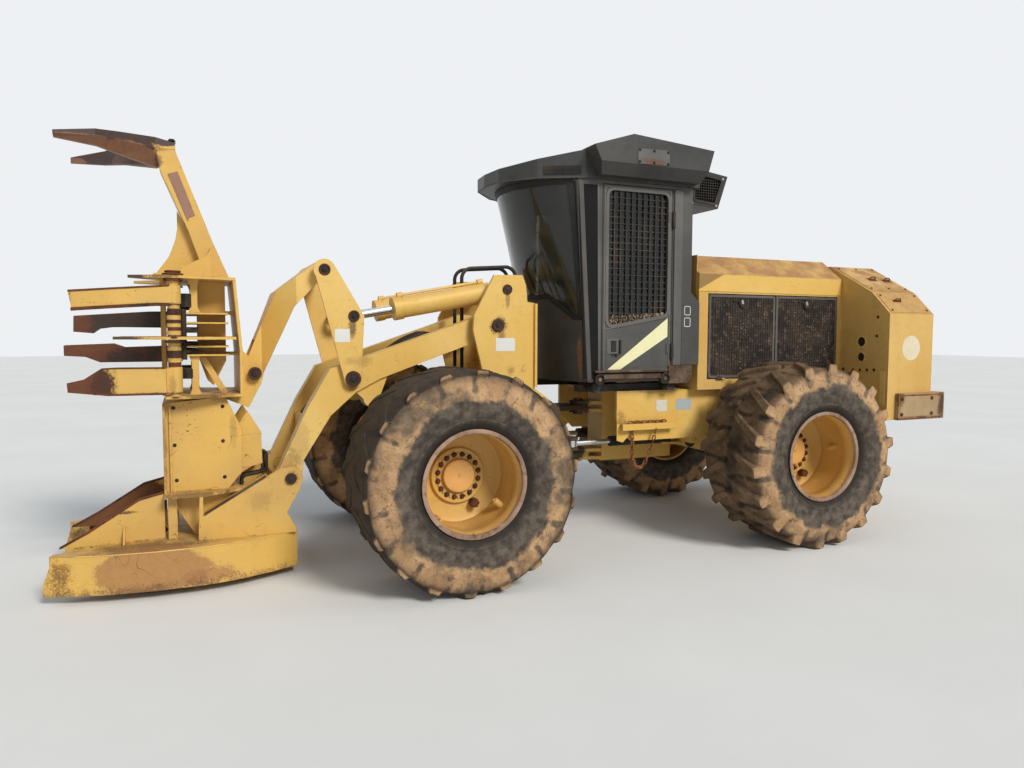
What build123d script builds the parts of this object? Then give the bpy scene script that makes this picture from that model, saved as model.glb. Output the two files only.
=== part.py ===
from build123d import *
from math import atan2, cos, degrees, hypot, radians, sin
import os

# A wheeled, articulated feller buncher: rear frame with cab and engine, front frame with
# a lift boom, and a disc-saw felling head with a pair of gathering arms.
# Millimetres. X runs forward and is counted from the front axle, Y to the left, Z up
# from the ground. The export shifts everything so that X = 0 is mid-length.

# Overall reach
FRONT_REACH = 2620
REAR_REACH = -4680
MID_X = (FRONT_REACH + REAR_REACH) / 2

# Clearances
RUN_FIT = 0.08
SEAT_GAP = 0.3
JOINT_GAP = 6

# Wheels and axles
WHEELBASE = 3050
TYRE_R = 765
TYRE_W = 730
WHEEL_Y = 1110
BEAD_R = 360
RIM_FLANGE_R = 369
RIM_HALF_W = 305
RIM_WALL = 14
HUB_R = 190
HUB_CAP_R = 118
HUB_INSET = 70
LUG_COUNT = 17
LUG_WIDTH = 62
LUG_GAP = 24
TYRE_WALL = 34
BEAD_T = 20
BEAD_SIDES = 15
FRONT_TREAD_DEPTH = 16
REAR_TREAD_DEPTH = 38
AXLE_TUBE_R = 105
DIFF_R = 165
SPINDLE_R = 120
TRUNNION_R = 100
TRUNNION_REACH = 290

# Articulation between the two frames, and its steering cylinders
ART_X = -1520
ART_PIN_R = 45
ART_LUG_R = 110
ART_LUG_T = 40
ART_UPPER_Z = 1110
ART_LOWER_Z = 680
ART_ANGLE = 40
STEER_Y = 300
STEER_Z = 820
STEER_FRONT_ARM = 220
STEER_REAR_ARM = 750
STEER_BARREL_R = 45
STEER_ROD_R = 24
STEER_BARREL_LEN = 590
STEER_ROD_INSIDE = 270
STEER_BORE = 500
STEER_EYE_R = 52
STEER_EYE_T = 56

# Linkage pins of the boom and head, as (x, z)
BOOM_PIVOT = (-547, 1831)
TILT_BASE = (-625, 2115)
HEAD_PIN = (1065, 715)
LEVER_PIN = (600, 1425)
TILT_EYE = (590, 1890)
LINK_TOP = (800, 2225)
LINK_LOW = (1280, 1467)
LIFT_BASE = (-450, 850)
LIFT_EYE = (450, 1266)
BIG_PIN_R = 45
PIN_R = 38

# Rear frame, deck and cab
FRAME_Y = 550
FRAME_PLATE = 30
FRAME_LOW = 850
DECK_Z = 1280
LEDGE_Z = 985
CHAIN_X = -1740
CHAIN_LINKS = 8
LINK_LEN = 50
LINK_WIDE = 32
LINK_BAR = 8
DECK_T = 20
NOSE_HALF_W = 130
FRAME_FRONT = -1600
FRAME_REAR = -4000
CAB_Y = 675
CAB_WALL = 30
CAB_LOW = 1370
CAB_REAR = -2250
CAB_EAVE = 3000
WINDOW_TOP = CAB_EAVE - 100
ROOF_LIP = 20
PILLAR_TOP_X = -1155
VISOR_X = -610
ROOF_REAR = -2300
PILLAR_LOW_X = -1250
BOW_LOW = 130
BOW_TOP = 385
SILL_Z = 1880
SILL_TOP_Z = 2060
SILL_TOP_Y = 300
SILL_FOOT_Y = 560
SIDE_WINDOW_X = (-2020, -1400)
REAR_WINDOW_LOW = 2520
GLASS_T = 12
DOOR_FRONT = -1370
DOOR_REAR = -2050
DOOR_LOW = 1440
DOOR_TOP = CAB_EAVE - 25
DOOR_GAP = 6
HINGE_R = 14
HINGE_PIN_R = 7
HINGE_LEN = 80
DOOR_HINGE_X = DOOR_REAR
DOOR_HINGE_Y = CAB_Y + HINGE_R
DOOR_HINGE_Z = (1600, 2700)
MESH_PITCH = 52
MESH_WIRE = 8

# Hood, screens and radiator housing
HOOD_FRONT = -2350
HOOD_REAR = FRAME_REAR
HOOD_Y = 650
HOOD_SHEET = 10
HOOD_EAVE = 2290
HOOD_RIDGE_Y = 400
HOOD_TOP = 2470
SCREEN_FRONT = -2450
SCREEN_REAR = -3950
SCREEN_LOW = 1370
SCREEN_TOP = 2120
SCREEN_T = 10
SCREEN_HINGE_R = 8
SCREEN_HINGE_PIN_R = 4
SCREEN_HINGE_LEN = 60
SCREEN_HINGE_Y = HOOD_Y + SCREEN_HINGE_R
TIE_DOWN_X = -4610
TIE_DOWN_Y = 450
TIE_DOWN_Z = 935
TIE_DOWN_R = 24
TIE_DOWN_T = 30
HOUSING_REAR = -4550
HOUSING_Y = 1200
HOUSING_LOW = 1000
HOUSING_EAVE = 1950
BUMPER_LOW = 1000
BUMPER_TOP = 1240
BUMPER_FRONT = -4100
BUMPER_WRAP = 40

# Front frame and tower
SIDE_Y = 470
SIDE_PLATE = 30
FRONT_FRAME_TOP = 1150
FRONT_FRAME_LOW = 640
FRONT_FRAME_REAR = -1100
FRONT_FRAME_NOSE = 360
CROSS_BOX_FRONT = -800
CROSS_BOX_REAR = -1180
CROSS_BOX_Y = 300
TOWER_BACK_X = -754
TIE_X = -375
TIE_TOP = 1290
HOSE_R = 15
HOSE_BEND = 90
HEAD_HOSE_R = 11
HEAD_HOSE_BEND = 40

# Boom, levers, link and cylinders
ARM_IN = 260
ARM_OUT = 380
LEVER_IN = 400
LEVER_OUT = 425
LINK_TOP_Y = 330
LINK_LOW_Y = 130
LINK_WALL = 16
LINK_SLACK = 10
CYL_Y = 300
TILT_BARREL_R = 82
TILT_ROD_R = 32
TILT_BARREL_LEN = 905
TILT_ROD_INSIDE = 310
TILT_BORE = 430
LIFT_BARREL_R = 68
LIFT_ROD_R = 38
LIFT_BARREL_LEN = 800
LIFT_ROD_INSIDE = 600
LIFT_BORE = 620
EYE_HALF_T = 36
EYE_SLACK = 4

# Felling head
BODY_Y = 320
BODY_SHEET = 20
BODY_FRONT = 1900
EAR_IN = 430
UPPER_EAR_IN = 160
UPPER_EAR_OUT = 200
SHAFT_X = 1812
SHAFT_Y = 400
SHAFT_R = 38
SLEEVE_R = 48
COLLAR_R = 44
CAGE_LOW = 1310
CAGE_MID = 1715
CAGE_TOP = 2150
CAGE_SHEET = 20
CAGE_BACK = 1410
CAGE_WALL_LOW = 1370
CAGE_WALL_Y = 370
SHELF_T = 12
SHELF_FRONT = 1735
CAGE_Y = 460
MAST_HALF_W = 95
SAW_X = 1720
SAW_R = 600
SAW_LOW = 120
SAW_T = 35
SAW_TEETH = 18
SKIRT_LOW = 60
SKIRT_TOP = 320
SKIRT_T = 20
HORN_Y = 500
WING_Y = 300
ARM_CLOSE_ANGLE = 60

HEAD_FORWARD = 30
HEAD_BACK = 12
BOOM_RAISE = 35
DOOR_SWING = 90
SCREEN_SWING = 30


def side_plate(points, y_low, y_high):
    """A plate seen from the side as these (x, z) points."""
    plane = Plane(origin=(0, y_high, 0), x_dir=(1, 0, 0), z_dir=(0, -1, 0))
    return extrude(plane * Polygon(*points, align=None), amount=y_high - y_low, dir=(0, -1, 0))


def flat_plate(points, z_low, z_high):
    """A plate seen from above as these (x, y) points."""
    plane = Plane(origin=(0, 0, z_low))
    return extrude(plane * Polygon(*points, align=None), amount=z_high - z_low, dir=(0, 0, 1))


def cross_plate(points, x_low, x_high):
    """A plate seen from the front as these (y, z) points."""
    plane = Plane(origin=(x_low, 0, 0), x_dir=(0, 1, 0), z_dir=(1, 0, 0))
    return extrude(plane * Polygon(*points, align=None), amount=x_high - x_low, dir=(1, 0, 0))


def block(x, y, z):
    """A box between these pairs of limits."""
    size = [abs(b - a) for a, b in (x, y, z)]
    return Pos(*[(a + b) / 2 for a, b in (x, y, z)]) * Box(*size)


def round_y(centre, radius, y_low, y_high):
    """A cylinder along Y at this (x, z)."""
    x, z = centre
    return Pos(x, (y_low + y_high) / 2, z) * Rot(90, 0, 0) * Cylinder(radius, y_high - y_low)


def round_z(centre, radius, z_low, z_high):
    """An upright cylinder at this (x, y)."""
    x, y = centre
    return Pos(x, y, (z_low + z_high) / 2) * Cylinder(radius, z_high - z_low)


def round_x(centre, radius, x_low, x_high):
    """A cylinder along X at this (y, z)."""
    y, z = centre
    return Pos((x_low + x_high) / 2, y, z) * Rot(0, 90, 0) * Cylinder(radius, x_high - x_low)


def along(start, end, y, radius, first, last):
    """A round bar in the plane at y, on the line from start to end, between two distances."""
    (x0, z0), (x1, z1) = start, end
    length = hypot(x1 - x0, z1 - z0)
    ux, uz = (x1 - x0) / length, (z1 - z0) / length
    middle = (first + last) / 2
    tilt = degrees(atan2(ux, uz))
    return Pos(x0 + ux * middle, y, z0 + uz * middle) * Rot(0, tilt, 0) * Cylinder(radius, last - first)


def on_line(start, end, distance):
    """The point this far from start towards end."""
    (x0, z0), (x1, z1) = start, end
    length = hypot(x1 - x0, z1 - z0)
    return x0 + (x1 - x0) * distance / length, z0 + (z1 - z0) * distance / length


def beside(start, end, distance):
    """Both points moved this far upwards, square to the line between them."""
    (x0, z0), (x1, z1) = start, end
    length = hypot(x1 - x0, z1 - z0)
    dx, dz = -(z1 - z0) * distance / length, (x1 - x0) * distance / length
    return (x0 + dx, z0 + dz), (x1 + dx, z1 + dz)


def both_sides(shape):
    """The shape and its mirror image on the other side of the machine."""
    return shape + mirror(shape, about=Plane.XZ)


def between(start, end):
    """Distance between two (x, z) pins."""
    return hypot(end[0] - start[0], end[1] - start[1])


# Wheels

def ring_of(sections, sides):
    """A flat-faced solid of this many sides through these (radius, y) sections, its axis along Y."""
    turns = [radians(360 * index / sides) for index in range(sides)]
    rings = [[(r * sin(turn), y, r * cos(turn)) for turn in turns] for r, y in sections]
    outlines = [rings[0], rings[-1]]
    for low, high in zip(rings, rings[1:]):
        for index in range(sides):
            after = (index + 1) % sides
            outlines.append([low[index], low[after], high[after], high[index]])
    return Solid(Shell([Face(Wire.make_polygon(outline)) for outline in outlines]))


def tyre(side, axle_x, tread_depth):
    """A hollow tyre with two rows of slanted lugs, open at the rim."""
    crown_r = TYRE_R - tread_depth
    shoulder = TYRE_W / 2 - 50
    profile = [(BEAD_R + BEAD_T, RIM_HALF_W), (540, TYRE_W / 2), (crown_r, shoulder)]
    carcass = ring_of([(r, -y) for r, y in profile] + list(reversed(profile)), LUG_COUNT)
    carcass = Rot(0, 90 / LUG_COUNT, 0) * carcass
    hollow = [(BEAD_R, RIM_HALF_W - 50), (crown_r - TYRE_WALL - 10, shoulder - 40)]
    carcass -= ring_of([(r, -y) for r, y in hollow] + list(reversed(hollow)), BEAD_SIDES)
    half_pitch = radians(180 / LUG_COUNT)
    top = TYRE_R * cos(half_pitch)
    sweep = TYRE_R * sin(half_pitch) - LUG_WIDTH / 2
    lugs = []
    for row in (1, -1):
        ends = [(-sweep, LUG_GAP / 2), (sweep, TYRE_W / 2 - 12)]
        corners = [(x + half, y) for half in (LUG_WIDTH / 2, -LUG_WIDTH / 2) for x, y in ends]
        points = [corners[0], corners[1], corners[3], corners[2]]
        for index in range(LUG_COUNT):
            lug = flat_plate([(-x, row * y) for x, y in points], crown_r - 45, top)
            lugs.append(Rot(0, (index + (0.5 if row > 0 else 0)) * 360 / LUG_COUNT, 0) * lug)
    bore_r = (BEAD_R + SEAT_GAP) / cos(radians(180 / BEAD_SIDES))
    whole = carcass.fuse(*lugs) - ring_of([(bore_r, -TYRE_W), (bore_r, TYRE_W)], BEAD_SIDES)
    return Pos(axle_x, side * WHEEL_Y, TYRE_R) * (whole if side > 0 else mirror(whole, about=Plane.XZ))


def rim(side, axle_x):
    """A deep rim: two flanges, a barrel, and a disc set far in from the outer face."""
    half = RIM_HALF_W
    section = [
        (BEAD_R - RIM_WALL, -half - 15), (RIM_FLANGE_R, -half - 15), (RIM_FLANGE_R, -half - 3),
        (BEAD_R, -half - 3), (BEAD_R, half + 3), (RIM_FLANGE_R, half + 3), (RIM_FLANGE_R, half + 15),
        (BEAD_R - RIM_WALL, half + 15),
    ]
    plane = Plane(origin=(0, 0, 0), x_dir=(0, 0, 1), z_dir=(1, 0, 0))
    barrel = revolve(plane * Polygon(*[(r, -y) for r, y in section], align=None), Axis.Y)
    inset = -HUB_INSET
    disc = round_y((0, 0), BEAD_R - RIM_WALL, inset - 20, inset)
    hub = round_y((0, 0), HUB_R, inset - 90, inset + 25) + round_y((0, 0), HUB_CAP_R, inset, inset + 85)
    socket = round_y((0, 0), SPINDLE_R + RUN_FIT, inset - 90, inset - 30)
    whole = barrel + disc + hub - socket
    return Pos(axle_x, side * WHEEL_Y, TYRE_R) * (whole if side > 0 else mirror(whole, about=Plane.XZ))


def axle(axle_x, trunnion):
    """A rigid drive axle: differential, arms, flanges, spindles and, where it rocks, a trunnion."""
    end = WHEEL_Y - HUB_INSET - 90
    centre = (axle_x, TYRE_R)
    beam = round_y(centre, AXLE_TUBE_R, -end + SEAT_GAP, end - SEAT_GAP)
    flange = round_y(centre, HUB_R, end - 90, end - SEAT_GAP)
    spindle = round_y(centre, SPINDLE_R, end - 90, end + 60 - SEAT_GAP)
    diff = round_x((0, TYRE_R), DIFF_R, axle_x - 150, axle_x + 150)
    nose = round_x((0, TYRE_R), 95, axle_x - 150, axle_x + 260)
    whole = beam + both_sides(flange + spindle) + diff + nose
    if trunnion:
        whole += round_x((0, TYRE_R), TRUNNION_R - SEAT_GAP, axle_x - TRUNNION_REACH, axle_x + TRUNNION_REACH)
    return whole


# Front frame

def front_chassis():
    """Two side plates, a belly, the cross box with articulation lugs, and cylinder ears."""
    outline = [
        (FRONT_FRAME_REAR, FRONT_FRAME_LOW + 120), (FRONT_FRAME_REAR, FRONT_FRAME_TOP),
        (200, FRONT_FRAME_TOP), (FRONT_FRAME_NOSE, 1020), (FRONT_FRAME_NOSE, 720),
        (280, FRONT_FRAME_LOW), (FRONT_FRAME_REAR + 150, FRONT_FRAME_LOW),
    ]
    side = side_plate(outline, SIDE_Y - SIDE_PLATE, SIDE_Y)
    inner_y = SIDE_Y - SIDE_PLATE
    frame = both_sides(side)
    axle_hole = round_y((0, TYRE_R), AXLE_TUBE_R + SEAT_GAP, -SIDE_Y - 5, SIDE_Y + 5)
    belly_z = (FRONT_FRAME_LOW, FRONT_FRAME_LOW + 20)
    frame += block((CROSS_BOX_REAR + 230, -DIFF_R - 25), (-inner_y, inner_y), belly_z)
    frame += block((DIFF_R + 100, 280), (-inner_y, inner_y), belly_z)
    frame += block((FRONT_FRAME_NOSE - 25, FRONT_FRAME_NOSE), (-inner_y, inner_y), (720, 1020))
    frame += block((CROSS_BOX_FRONT - 30, CROSS_BOX_FRONT), (-inner_y, inner_y),
                   (FRONT_FRAME_LOW, FRONT_FRAME_TOP))
    box_z = (FRONT_FRAME_LOW, FRONT_FRAME_TOP)
    box = block((CROSS_BOX_REAR, CROSS_BOX_FRONT - 30), (-CROSS_BOX_Y, CROSS_BOX_Y), box_z)
    hollow = block((CROSS_BOX_REAR + 25, CROSS_BOX_FRONT - 55), (-CROSS_BOX_Y + 25, CROSS_BOX_Y - 25),
                   (FRONT_FRAME_LOW + 25, FRONT_FRAME_TOP - 25))
    frame += box - hollow
    for z in (ART_UPPER_Z, ART_LOWER_Z):
        limits = (z - ART_LUG_T / 2, z + ART_LUG_T / 2)
        lug = flat_plate([(CROSS_BOX_REAR, -220), (CROSS_BOX_REAR, 220), (ART_X, ART_LUG_R),
                          (ART_X, -ART_LUG_R)],
                         *limits)
        lug += round_z((ART_X, 0), ART_LUG_R, *limits)
        frame += lug - round_z((ART_X, 0), ART_PIN_R + RUN_FIT, *limits)
    steer_x = ART_X + STEER_FRONT_ARM
    for low in (STEER_Z - STEER_EYE_T / 2 - JOINT_GAP - 22, STEER_Z + STEER_EYE_T / 2 + JOINT_GAP):
        ear = round_z((steer_x, STEER_Y), 60, low, low + 22)
        ear += block((steer_x, CROSS_BOX_REAR), (STEER_Y - 60, STEER_Y), (low, low + 22))
        ear += flat_plate([(steer_x, STEER_Y), (steer_x, STEER_Y + 60), (CROSS_BOX_REAR, STEER_Y)], low,
                          low + 22)
        frame += both_sides(ear)
    eye_gap = EYE_HALF_T + EYE_SLACK
    for low in (CYL_Y - eye_gap - 25, CYL_Y + eye_gap):
        x, z = LIFT_BASE
        ear = side_plate([(CROSS_BOX_FRONT, z - 90), (x, z - 70), (x, z + 70), (CROSS_BOX_FRONT, z + 130)],
                         low, low + 25)
        ear += round_y(LIFT_BASE, 70, low, low + 25)
        frame += both_sides(ear)
    frame += both_sides(round_y(LIFT_BASE, PIN_R, CYL_Y - eye_gap - 25, CYL_Y + eye_gap + 25))
    return frame - axle_hole


def tower():
    """The two plates that carry the boom, joined by cross pieces behind it."""
    px, pz = BOOM_PIVOT
    tx, tz = TILT_BASE
    outline = [
        (200, FRONT_FRAME_TOP), (FRONT_FRAME_REAR, FRONT_FRAME_TOP), (px - 321, 1320), (px - 318, pz + 181),
        (px - 255, pz + 188), (px - 243, tz + 35), (px - 210, tz + 119), (tx + 111, tz + 111),
        (px + 202, pz + 78), (px + 210, pz - 40), (px + 134, 1475), (px + 250, 1290),
    ]
    plate = side_plate(outline, SIDE_Y - SIDE_PLATE, SIDE_Y)
    plate += round_y(BOOM_PIVOT, 36, SIDE_Y, SIDE_Y + 6) + round_y(TILT_BASE, 22, SIDE_Y, SIDE_Y + 6)
    plate += block((px - 335, px - 315), (SIDE_Y - 70, SIDE_Y + 22), (1330, pz + 175))
    frame = both_sides(plate)
    inner_y = SIDE_Y - SIDE_PLATE
    frame += block((TOWER_BACK_X, TOWER_BACK_X + 20), (-inner_y, inner_y), (1350, 1950))
    frame += block((TOWER_BACK_X, -560), (-inner_y, inner_y), (1350, 1370))
    frame += block((TIE_X - 12, TIE_X + 12), (-inner_y, inner_y), (1200, TIE_TOP))
    for y_low, y_high in ((ARM_IN - JOINT_GAP - 20, inner_y), (-inner_y, -ARM_IN + JOINT_GAP + 20)):
        frame += round_y(BOOM_PIVOT, BIG_PIN_R, y_low, y_high)
        frame += round_y(TILT_BASE, PIN_R, y_low - 30 if y_low > 0 else y_low,
                         y_high if y_low > 0 else y_high + 30)
    return frame


def hose(points, y, radius, bend):
    """A hose in the plane at y, through these (x, z) corners with rounded bends."""
    path = FilletPolyline(*[(x, y, z) for x, z in points], radius=bend)
    return sweep(Plane(origin=path @ 0, z_dir=path % 0) * Circle(radius), path=path)


def tower_hoses():
    """Hoses from the tower's back plate, over its top and down to the tie between its plates."""
    start = (TOWER_BACK_X - SEAT_GAP, 1500)
    end = (TIE_X, TIE_TOP + SEAT_GAP)
    route = [start, (TOWER_BACK_X - 95, 1500), (TOWER_BACK_X - 110, 2335), (TIE_X, 2300), end]
    return both_sides(hose(route, 90, HOSE_R, HOSE_BEND))


# Boom and linkage

def boom():
    """Two box arms that bend down to the head, a cross tube, and the lift-cylinder ears."""
    px, pz = BOOM_PIVOT
    hx, hz = HEAD_PIN
    lx, lz = LEVER_PIN
    outline = [
        (px - 20, pz + 95), (px + 60, pz + 100), (-270, 1850), (lx - 30, 1560), (lx + 160, 1500),
        (hx - 145, 1230), (hx + 45, hz + 115), (hx + 92, hz), (hx - 92, hz),
        (hx - 105, hz + 115), (hx - 305, 1150), (lx - 30, 1320), (380, 1420), (-290, 1660),
        (px - 20, pz - 95),
    ]
    arm = side_plate(outline, ARM_IN, ARM_OUT)
    arm += round_y(BOOM_PIVOT, 97, ARM_IN, ARM_OUT) + round_y(HEAD_PIN, 92, ARM_IN, ARM_OUT)
    arm += round_y(LEVER_PIN, 80, ARM_IN, ARM_OUT)
    ex, ez = LIFT_EYE
    eye_gap = EYE_HALF_T + EYE_SLACK
    for low in (CYL_Y - eye_gap - 18, CYL_Y + eye_gap):
        ear = side_plate([(ex - 150, 1495), (ex - 60, ez), (ex + 60, ez), (ex + 150, 1350)], low, low + 18)
        arm += ear + round_y(LIFT_EYE, 60, low, low + 18)
    frame = both_sides(arm)
    frame += block((hx - 235, hx - 125), (-ARM_IN, ARM_IN), (1000, 1130))
    frame += round_y((-60, 1680), 62, -ARM_IN, ARM_IN)
    frame -= round_y(BOOM_PIVOT, BIG_PIN_R + RUN_FIT, -ARM_OUT - 1, ARM_OUT + 1)
    frame -= round_y(HEAD_PIN, BIG_PIN_R + RUN_FIT, -ARM_OUT - 1, ARM_OUT + 1)
    return frame - round_y(LEVER_PIN, PIN_R + RUN_FIT, -ARM_OUT - 1, ARM_OUT + 1)


def levers():
    """The pair of upright levers, joined by their top and bottom pins."""
    bx, bz = LEVER_PIN
    mx, mz = TILT_EYE
    tx, tz = LINK_TOP
    outline = [(bx - 62, bz), (mx - 78, mz), (tx - 78, tz + 25), (tx + 70, tz - 20), (bx + 66, bz)]
    plate = side_plate(outline, LEVER_IN, LEVER_OUT)
    plate += round_y(LEVER_PIN, 66, LEVER_IN, LEVER_OUT) + round_y(LINK_TOP, 78, LEVER_IN, LEVER_OUT)
    plate += round_y(LEVER_PIN, 36, LEVER_OUT, LEVER_OUT + 8)
    plate += round_y(TILT_EYE, 62, LEVER_IN - 14, LEVER_OUT) + round_y(TILT_EYE, 26, LEVER_OUT, LEVER_OUT + 6)
    plate -= round_y(LINK_TOP, 26, LEVER_OUT - 10, LEVER_OUT + 1)
    pair = both_sides(plate)
    pair += round_y(LINK_TOP, PIN_R, -LEVER_IN, LEVER_IN)
    return pair + both_sides(round_y(LEVER_PIN, PIN_R, ARM_IN - JOINT_GAP, LEVER_IN))


def link():
    """The bent link from the lever tops to the head, wide above and narrow below."""
    tx, tz = LINK_TOP
    ux, uz = LINK_LOW
    outline = [
        (tx - 62, tz - 50), (tx - 50, tz + 62), (tx + 20, tz + 75), (tx + 320, tz - 155), (ux + 75, uz + 30),
        (ux - 20, uz - 72), (ux - 75, uz + 10), (tx + 200, tz - 265), (tx + 40, tz - 95),
    ]
    solid = side_plate(outline, -LINK_TOP_Y, LINK_TOP_Y)
    solid += round_y(LINK_TOP, 75, -LINK_TOP_Y, LINK_TOP_Y)
    solid += round_y(LINK_LOW, 72, -LINK_LOW_Y, LINK_LOW_Y)
    bend = tx + 250
    taper = [(tx - 200, LINK_TOP_Y), (bend - 60, LINK_TOP_Y), (ux - 60, LINK_LOW_Y), (ux + 120, LINK_LOW_Y)]
    plan = taper + [(x, -y) for x, y in reversed(taper)]
    solid = solid & flat_plate(plan, uz - 200, tz + 200)
    hollow = [
        (tx + 75, tz + 8), (tx + 100, tz - 5), (tx + 302, tz - 163), (ux + 45, uz + 120), (ux - 25, uz + 100),
        (tx + 220, tz - 268), (tx + 85, tz - 100),
    ]
    solid -= side_plate(hollow, -LINK_LOW_Y + LINK_WALL, LINK_LOW_Y - LINK_WALL)
    solid -= round_y(LINK_LOW, PIN_R + LINK_SLACK, -LINK_TOP_Y, LINK_TOP_Y)
    return solid - round_y(LINK_TOP, PIN_R + RUN_FIT, -LINK_TOP_Y - 1, LINK_TOP_Y + 1)


def cylinder_barrels(base, eye, radius, length, pin_r, tube_r=11):
    """A pair of cylinder barrels with their base eyes, on both sides of the boom."""
    barrel = along(base, eye, CYL_Y, radius, 95, length)
    barrel += along(base, eye, CYL_Y, radius + 8, length - 70, length)
    barrel += along(base, eye, CYL_Y, 40, 0, 100)
    barrel += round_y(base, pin_r + 26, CYL_Y - EYE_HALF_T, CYL_Y + EYE_HALF_T)
    tube_base, tube_eye = beside(base, eye, radius + tube_r + 3)
    barrel += along(tube_base, tube_eye, CYL_Y, tube_r, 150, length - 60)
    for start in (135, length - 95):
        barrel += along(tube_base, tube_eye, CYL_Y, 22, start, start + 45)
    barrel -= round_y(base, pin_r + RUN_FIT, CYL_Y - 200, CYL_Y + 200)
    return barrel


def cylinder_rods(base, eye, barrel_len, rod_r, eye_r, inside):
    """A pair of rods with their eyes, this far inside their barrels."""
    reach = between(base, eye)
    rod = along(base, eye, CYL_Y, rod_r, barrel_len - inside, reach - eye_r + 6)
    rod += round_y(eye, eye_r, CYL_Y - EYE_HALF_T, CYL_Y + EYE_HALF_T)
    return rod - round_y(eye, PIN_R + 12, CYL_Y - 200, CYL_Y + 200)


def bored(barrel, base, eye, barrel_len, rod_r, depth):
    """The barrel with the bore that its rod slides in."""
    return barrel - along(base, eye, CYL_Y, rod_r + RUN_FIT, barrel_len - depth, barrel_len + 5)


def steer_parts(side):
    """One steering cylinder: its barrel and its rod."""
    y = side * STEER_Y
    rear = ART_X - STEER_REAR_ARM
    front = ART_X + STEER_FRONT_ARM
    half = STEER_EYE_T / 2
    end = rear + STEER_BARREL_LEN
    barrel = round_x((y, STEER_Z), STEER_BARREL_R, rear + 60, end) + round_x((y, STEER_Z), 28, rear,
                                                                             rear + 70)
    barrel += round_z((rear, y), STEER_EYE_R, STEER_Z - half, STEER_Z + half)
    barrel -= round_z((rear, y), 26 + RUN_FIT, STEER_Z - half, STEER_Z + half)
    barrel -= round_x((y, STEER_Z), STEER_ROD_R + RUN_FIT, end - STEER_BORE, end + 5)
    rod = round_x((y, STEER_Z), STEER_ROD_R, end - STEER_ROD_INSIDE, front - STEER_EYE_R + 5)
    rod += round_z((front, y), STEER_EYE_R, STEER_Z - half, STEER_Z + half)
    rod -= round_z((front, y), 34, STEER_Z - half, STEER_Z + half)
    return barrel, rod


# Felling head

def head_body():
    """The closed box behind the butt plate, with upper-pin ears and lower-pin gussets."""
    outline = [(BODY_FRONT, CAGE_LOW - 40), (1490, CAGE_LOW), (1380, 1070), (1390, 760), (1480, 650),
               (BODY_FRONT, 650)]
    inner = [(BODY_FRONT - 25, 1240), (1505, 1275), (1402, 1065), (1412, 770), (1490, 675),
             (BODY_FRONT - 25, 675)]
    box = side_plate(outline, -BODY_Y, BODY_Y) - side_plate(inner, -BODY_Y + BODY_SHEET, BODY_Y - BODY_SHEET)
    flange = block((BODY_FRONT - 16, BODY_FRONT), (BODY_Y, BODY_Y + 34), (650, CAGE_LOW - 50))
    flange += block((BODY_FRONT - 52, BODY_FRONT - 40), (BODY_Y, BODY_Y + 20), (650, CAGE_LOW - 55))
    rear = [(1340, 1200), (1248, 1040), (1242, 810), (1330, 790), (1392, 790), (1382, 1060), (1400, 1110)]
    flange += side_plate(rear, BODY_Y - 60, BODY_Y - 40)
    box += both_sides(flange)
    ux, uz = LINK_LOW
    upper = [
        (CAGE_WALL_LOW, 1640), (ux + 24, uz + 114), (ux - 60, uz + 24), (ux - 62, uz - 25),
        (ux - 45, uz - 80),
        (1324, 1214), (1500, 1290), (1490, CAGE_LOW), (CAGE_WALL_LOW, CAGE_LOW),
    ]
    ear = side_plate(upper, UPPER_EAR_IN, UPPER_EAR_OUT) + round_y(LINK_LOW, 62, UPPER_EAR_IN, UPPER_EAR_OUT)
    ear += round_y(LINK_LOW, 30, UPPER_EAR_OUT, UPPER_EAR_OUT + 45) + round_y(LINK_LOW, PIN_R, 0,
                                                                              UPPER_EAR_IN)
    box += both_sides(ear)
    hx, hz = HEAD_PIN
    lower = [
        (1690, SKIRT_TOP), (1676, 650), (1655, 650), (1655, 490), (hx + 75, hz + 75), (hx, hz + 85),
        (hx - 80, hz - 25),
        (hx - 60, hz - 90), (hx + 30, 470), (hx - 35, 350), (hx - 35, SKIRT_TOP),
    ]
    gusset = side_plate(lower, EAR_IN, EAR_IN + 30) + round_y(HEAD_PIN, 85, EAR_IN - 44, EAR_IN + 30)
    top, foot = (hx + 75, hz + 75), (1655, 490)
    start = on_line(top, foot, 95)
    cap = [start, foot, (foot[0], foot[1] - 22), (start[0], start[1] - 22)]
    gusset += side_plate(cap, EAR_IN - 110, EAR_IN)
    gusset += round_y(HEAD_PIN, 38, EAR_IN + 30, EAR_IN + 44)
    gusset += round_y(HEAD_PIN, BIG_PIN_R, ARM_IN - 10, EAR_IN)
    box += both_sides(gusset)
    floor_y = EAR_IN + 30
    floor = flat_plate([(1360, -BODY_Y), (1360, BODY_Y), (1655, floor_y), (BODY_FRONT, floor_y),
                        (BODY_FRONT, -floor_y),
                        (1655, -floor_y)], 628, 650)
    box += floor
    web = side_plate([(1390, 628), (1880, 628), (1700, SKIRT_TOP), (1240, SKIRT_TOP)], WING_Y - 25, WING_Y)
    post = block((1820, 1880), (WING_Y, WING_Y + 60), (SKIRT_TOP, 628))
    return box + both_sides(web + post)


def head_hoses():
    """Hoses on the left that loop out of the body's back and down to its floor plate."""
    hoses = None
    for y, reach in ((150, 1225), (190, 1205), (225, 1240)):
        route = [(1384, 905), (reach, 890), (reach, 735), (1385, 715), (1385, 650 + SEAT_GAP)]
        run = hose(route, y, HEAD_HOSE_R, HEAD_HOSE_BEND)
        hoses = run if hoses is None else hoses + run
    return hoses


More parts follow.
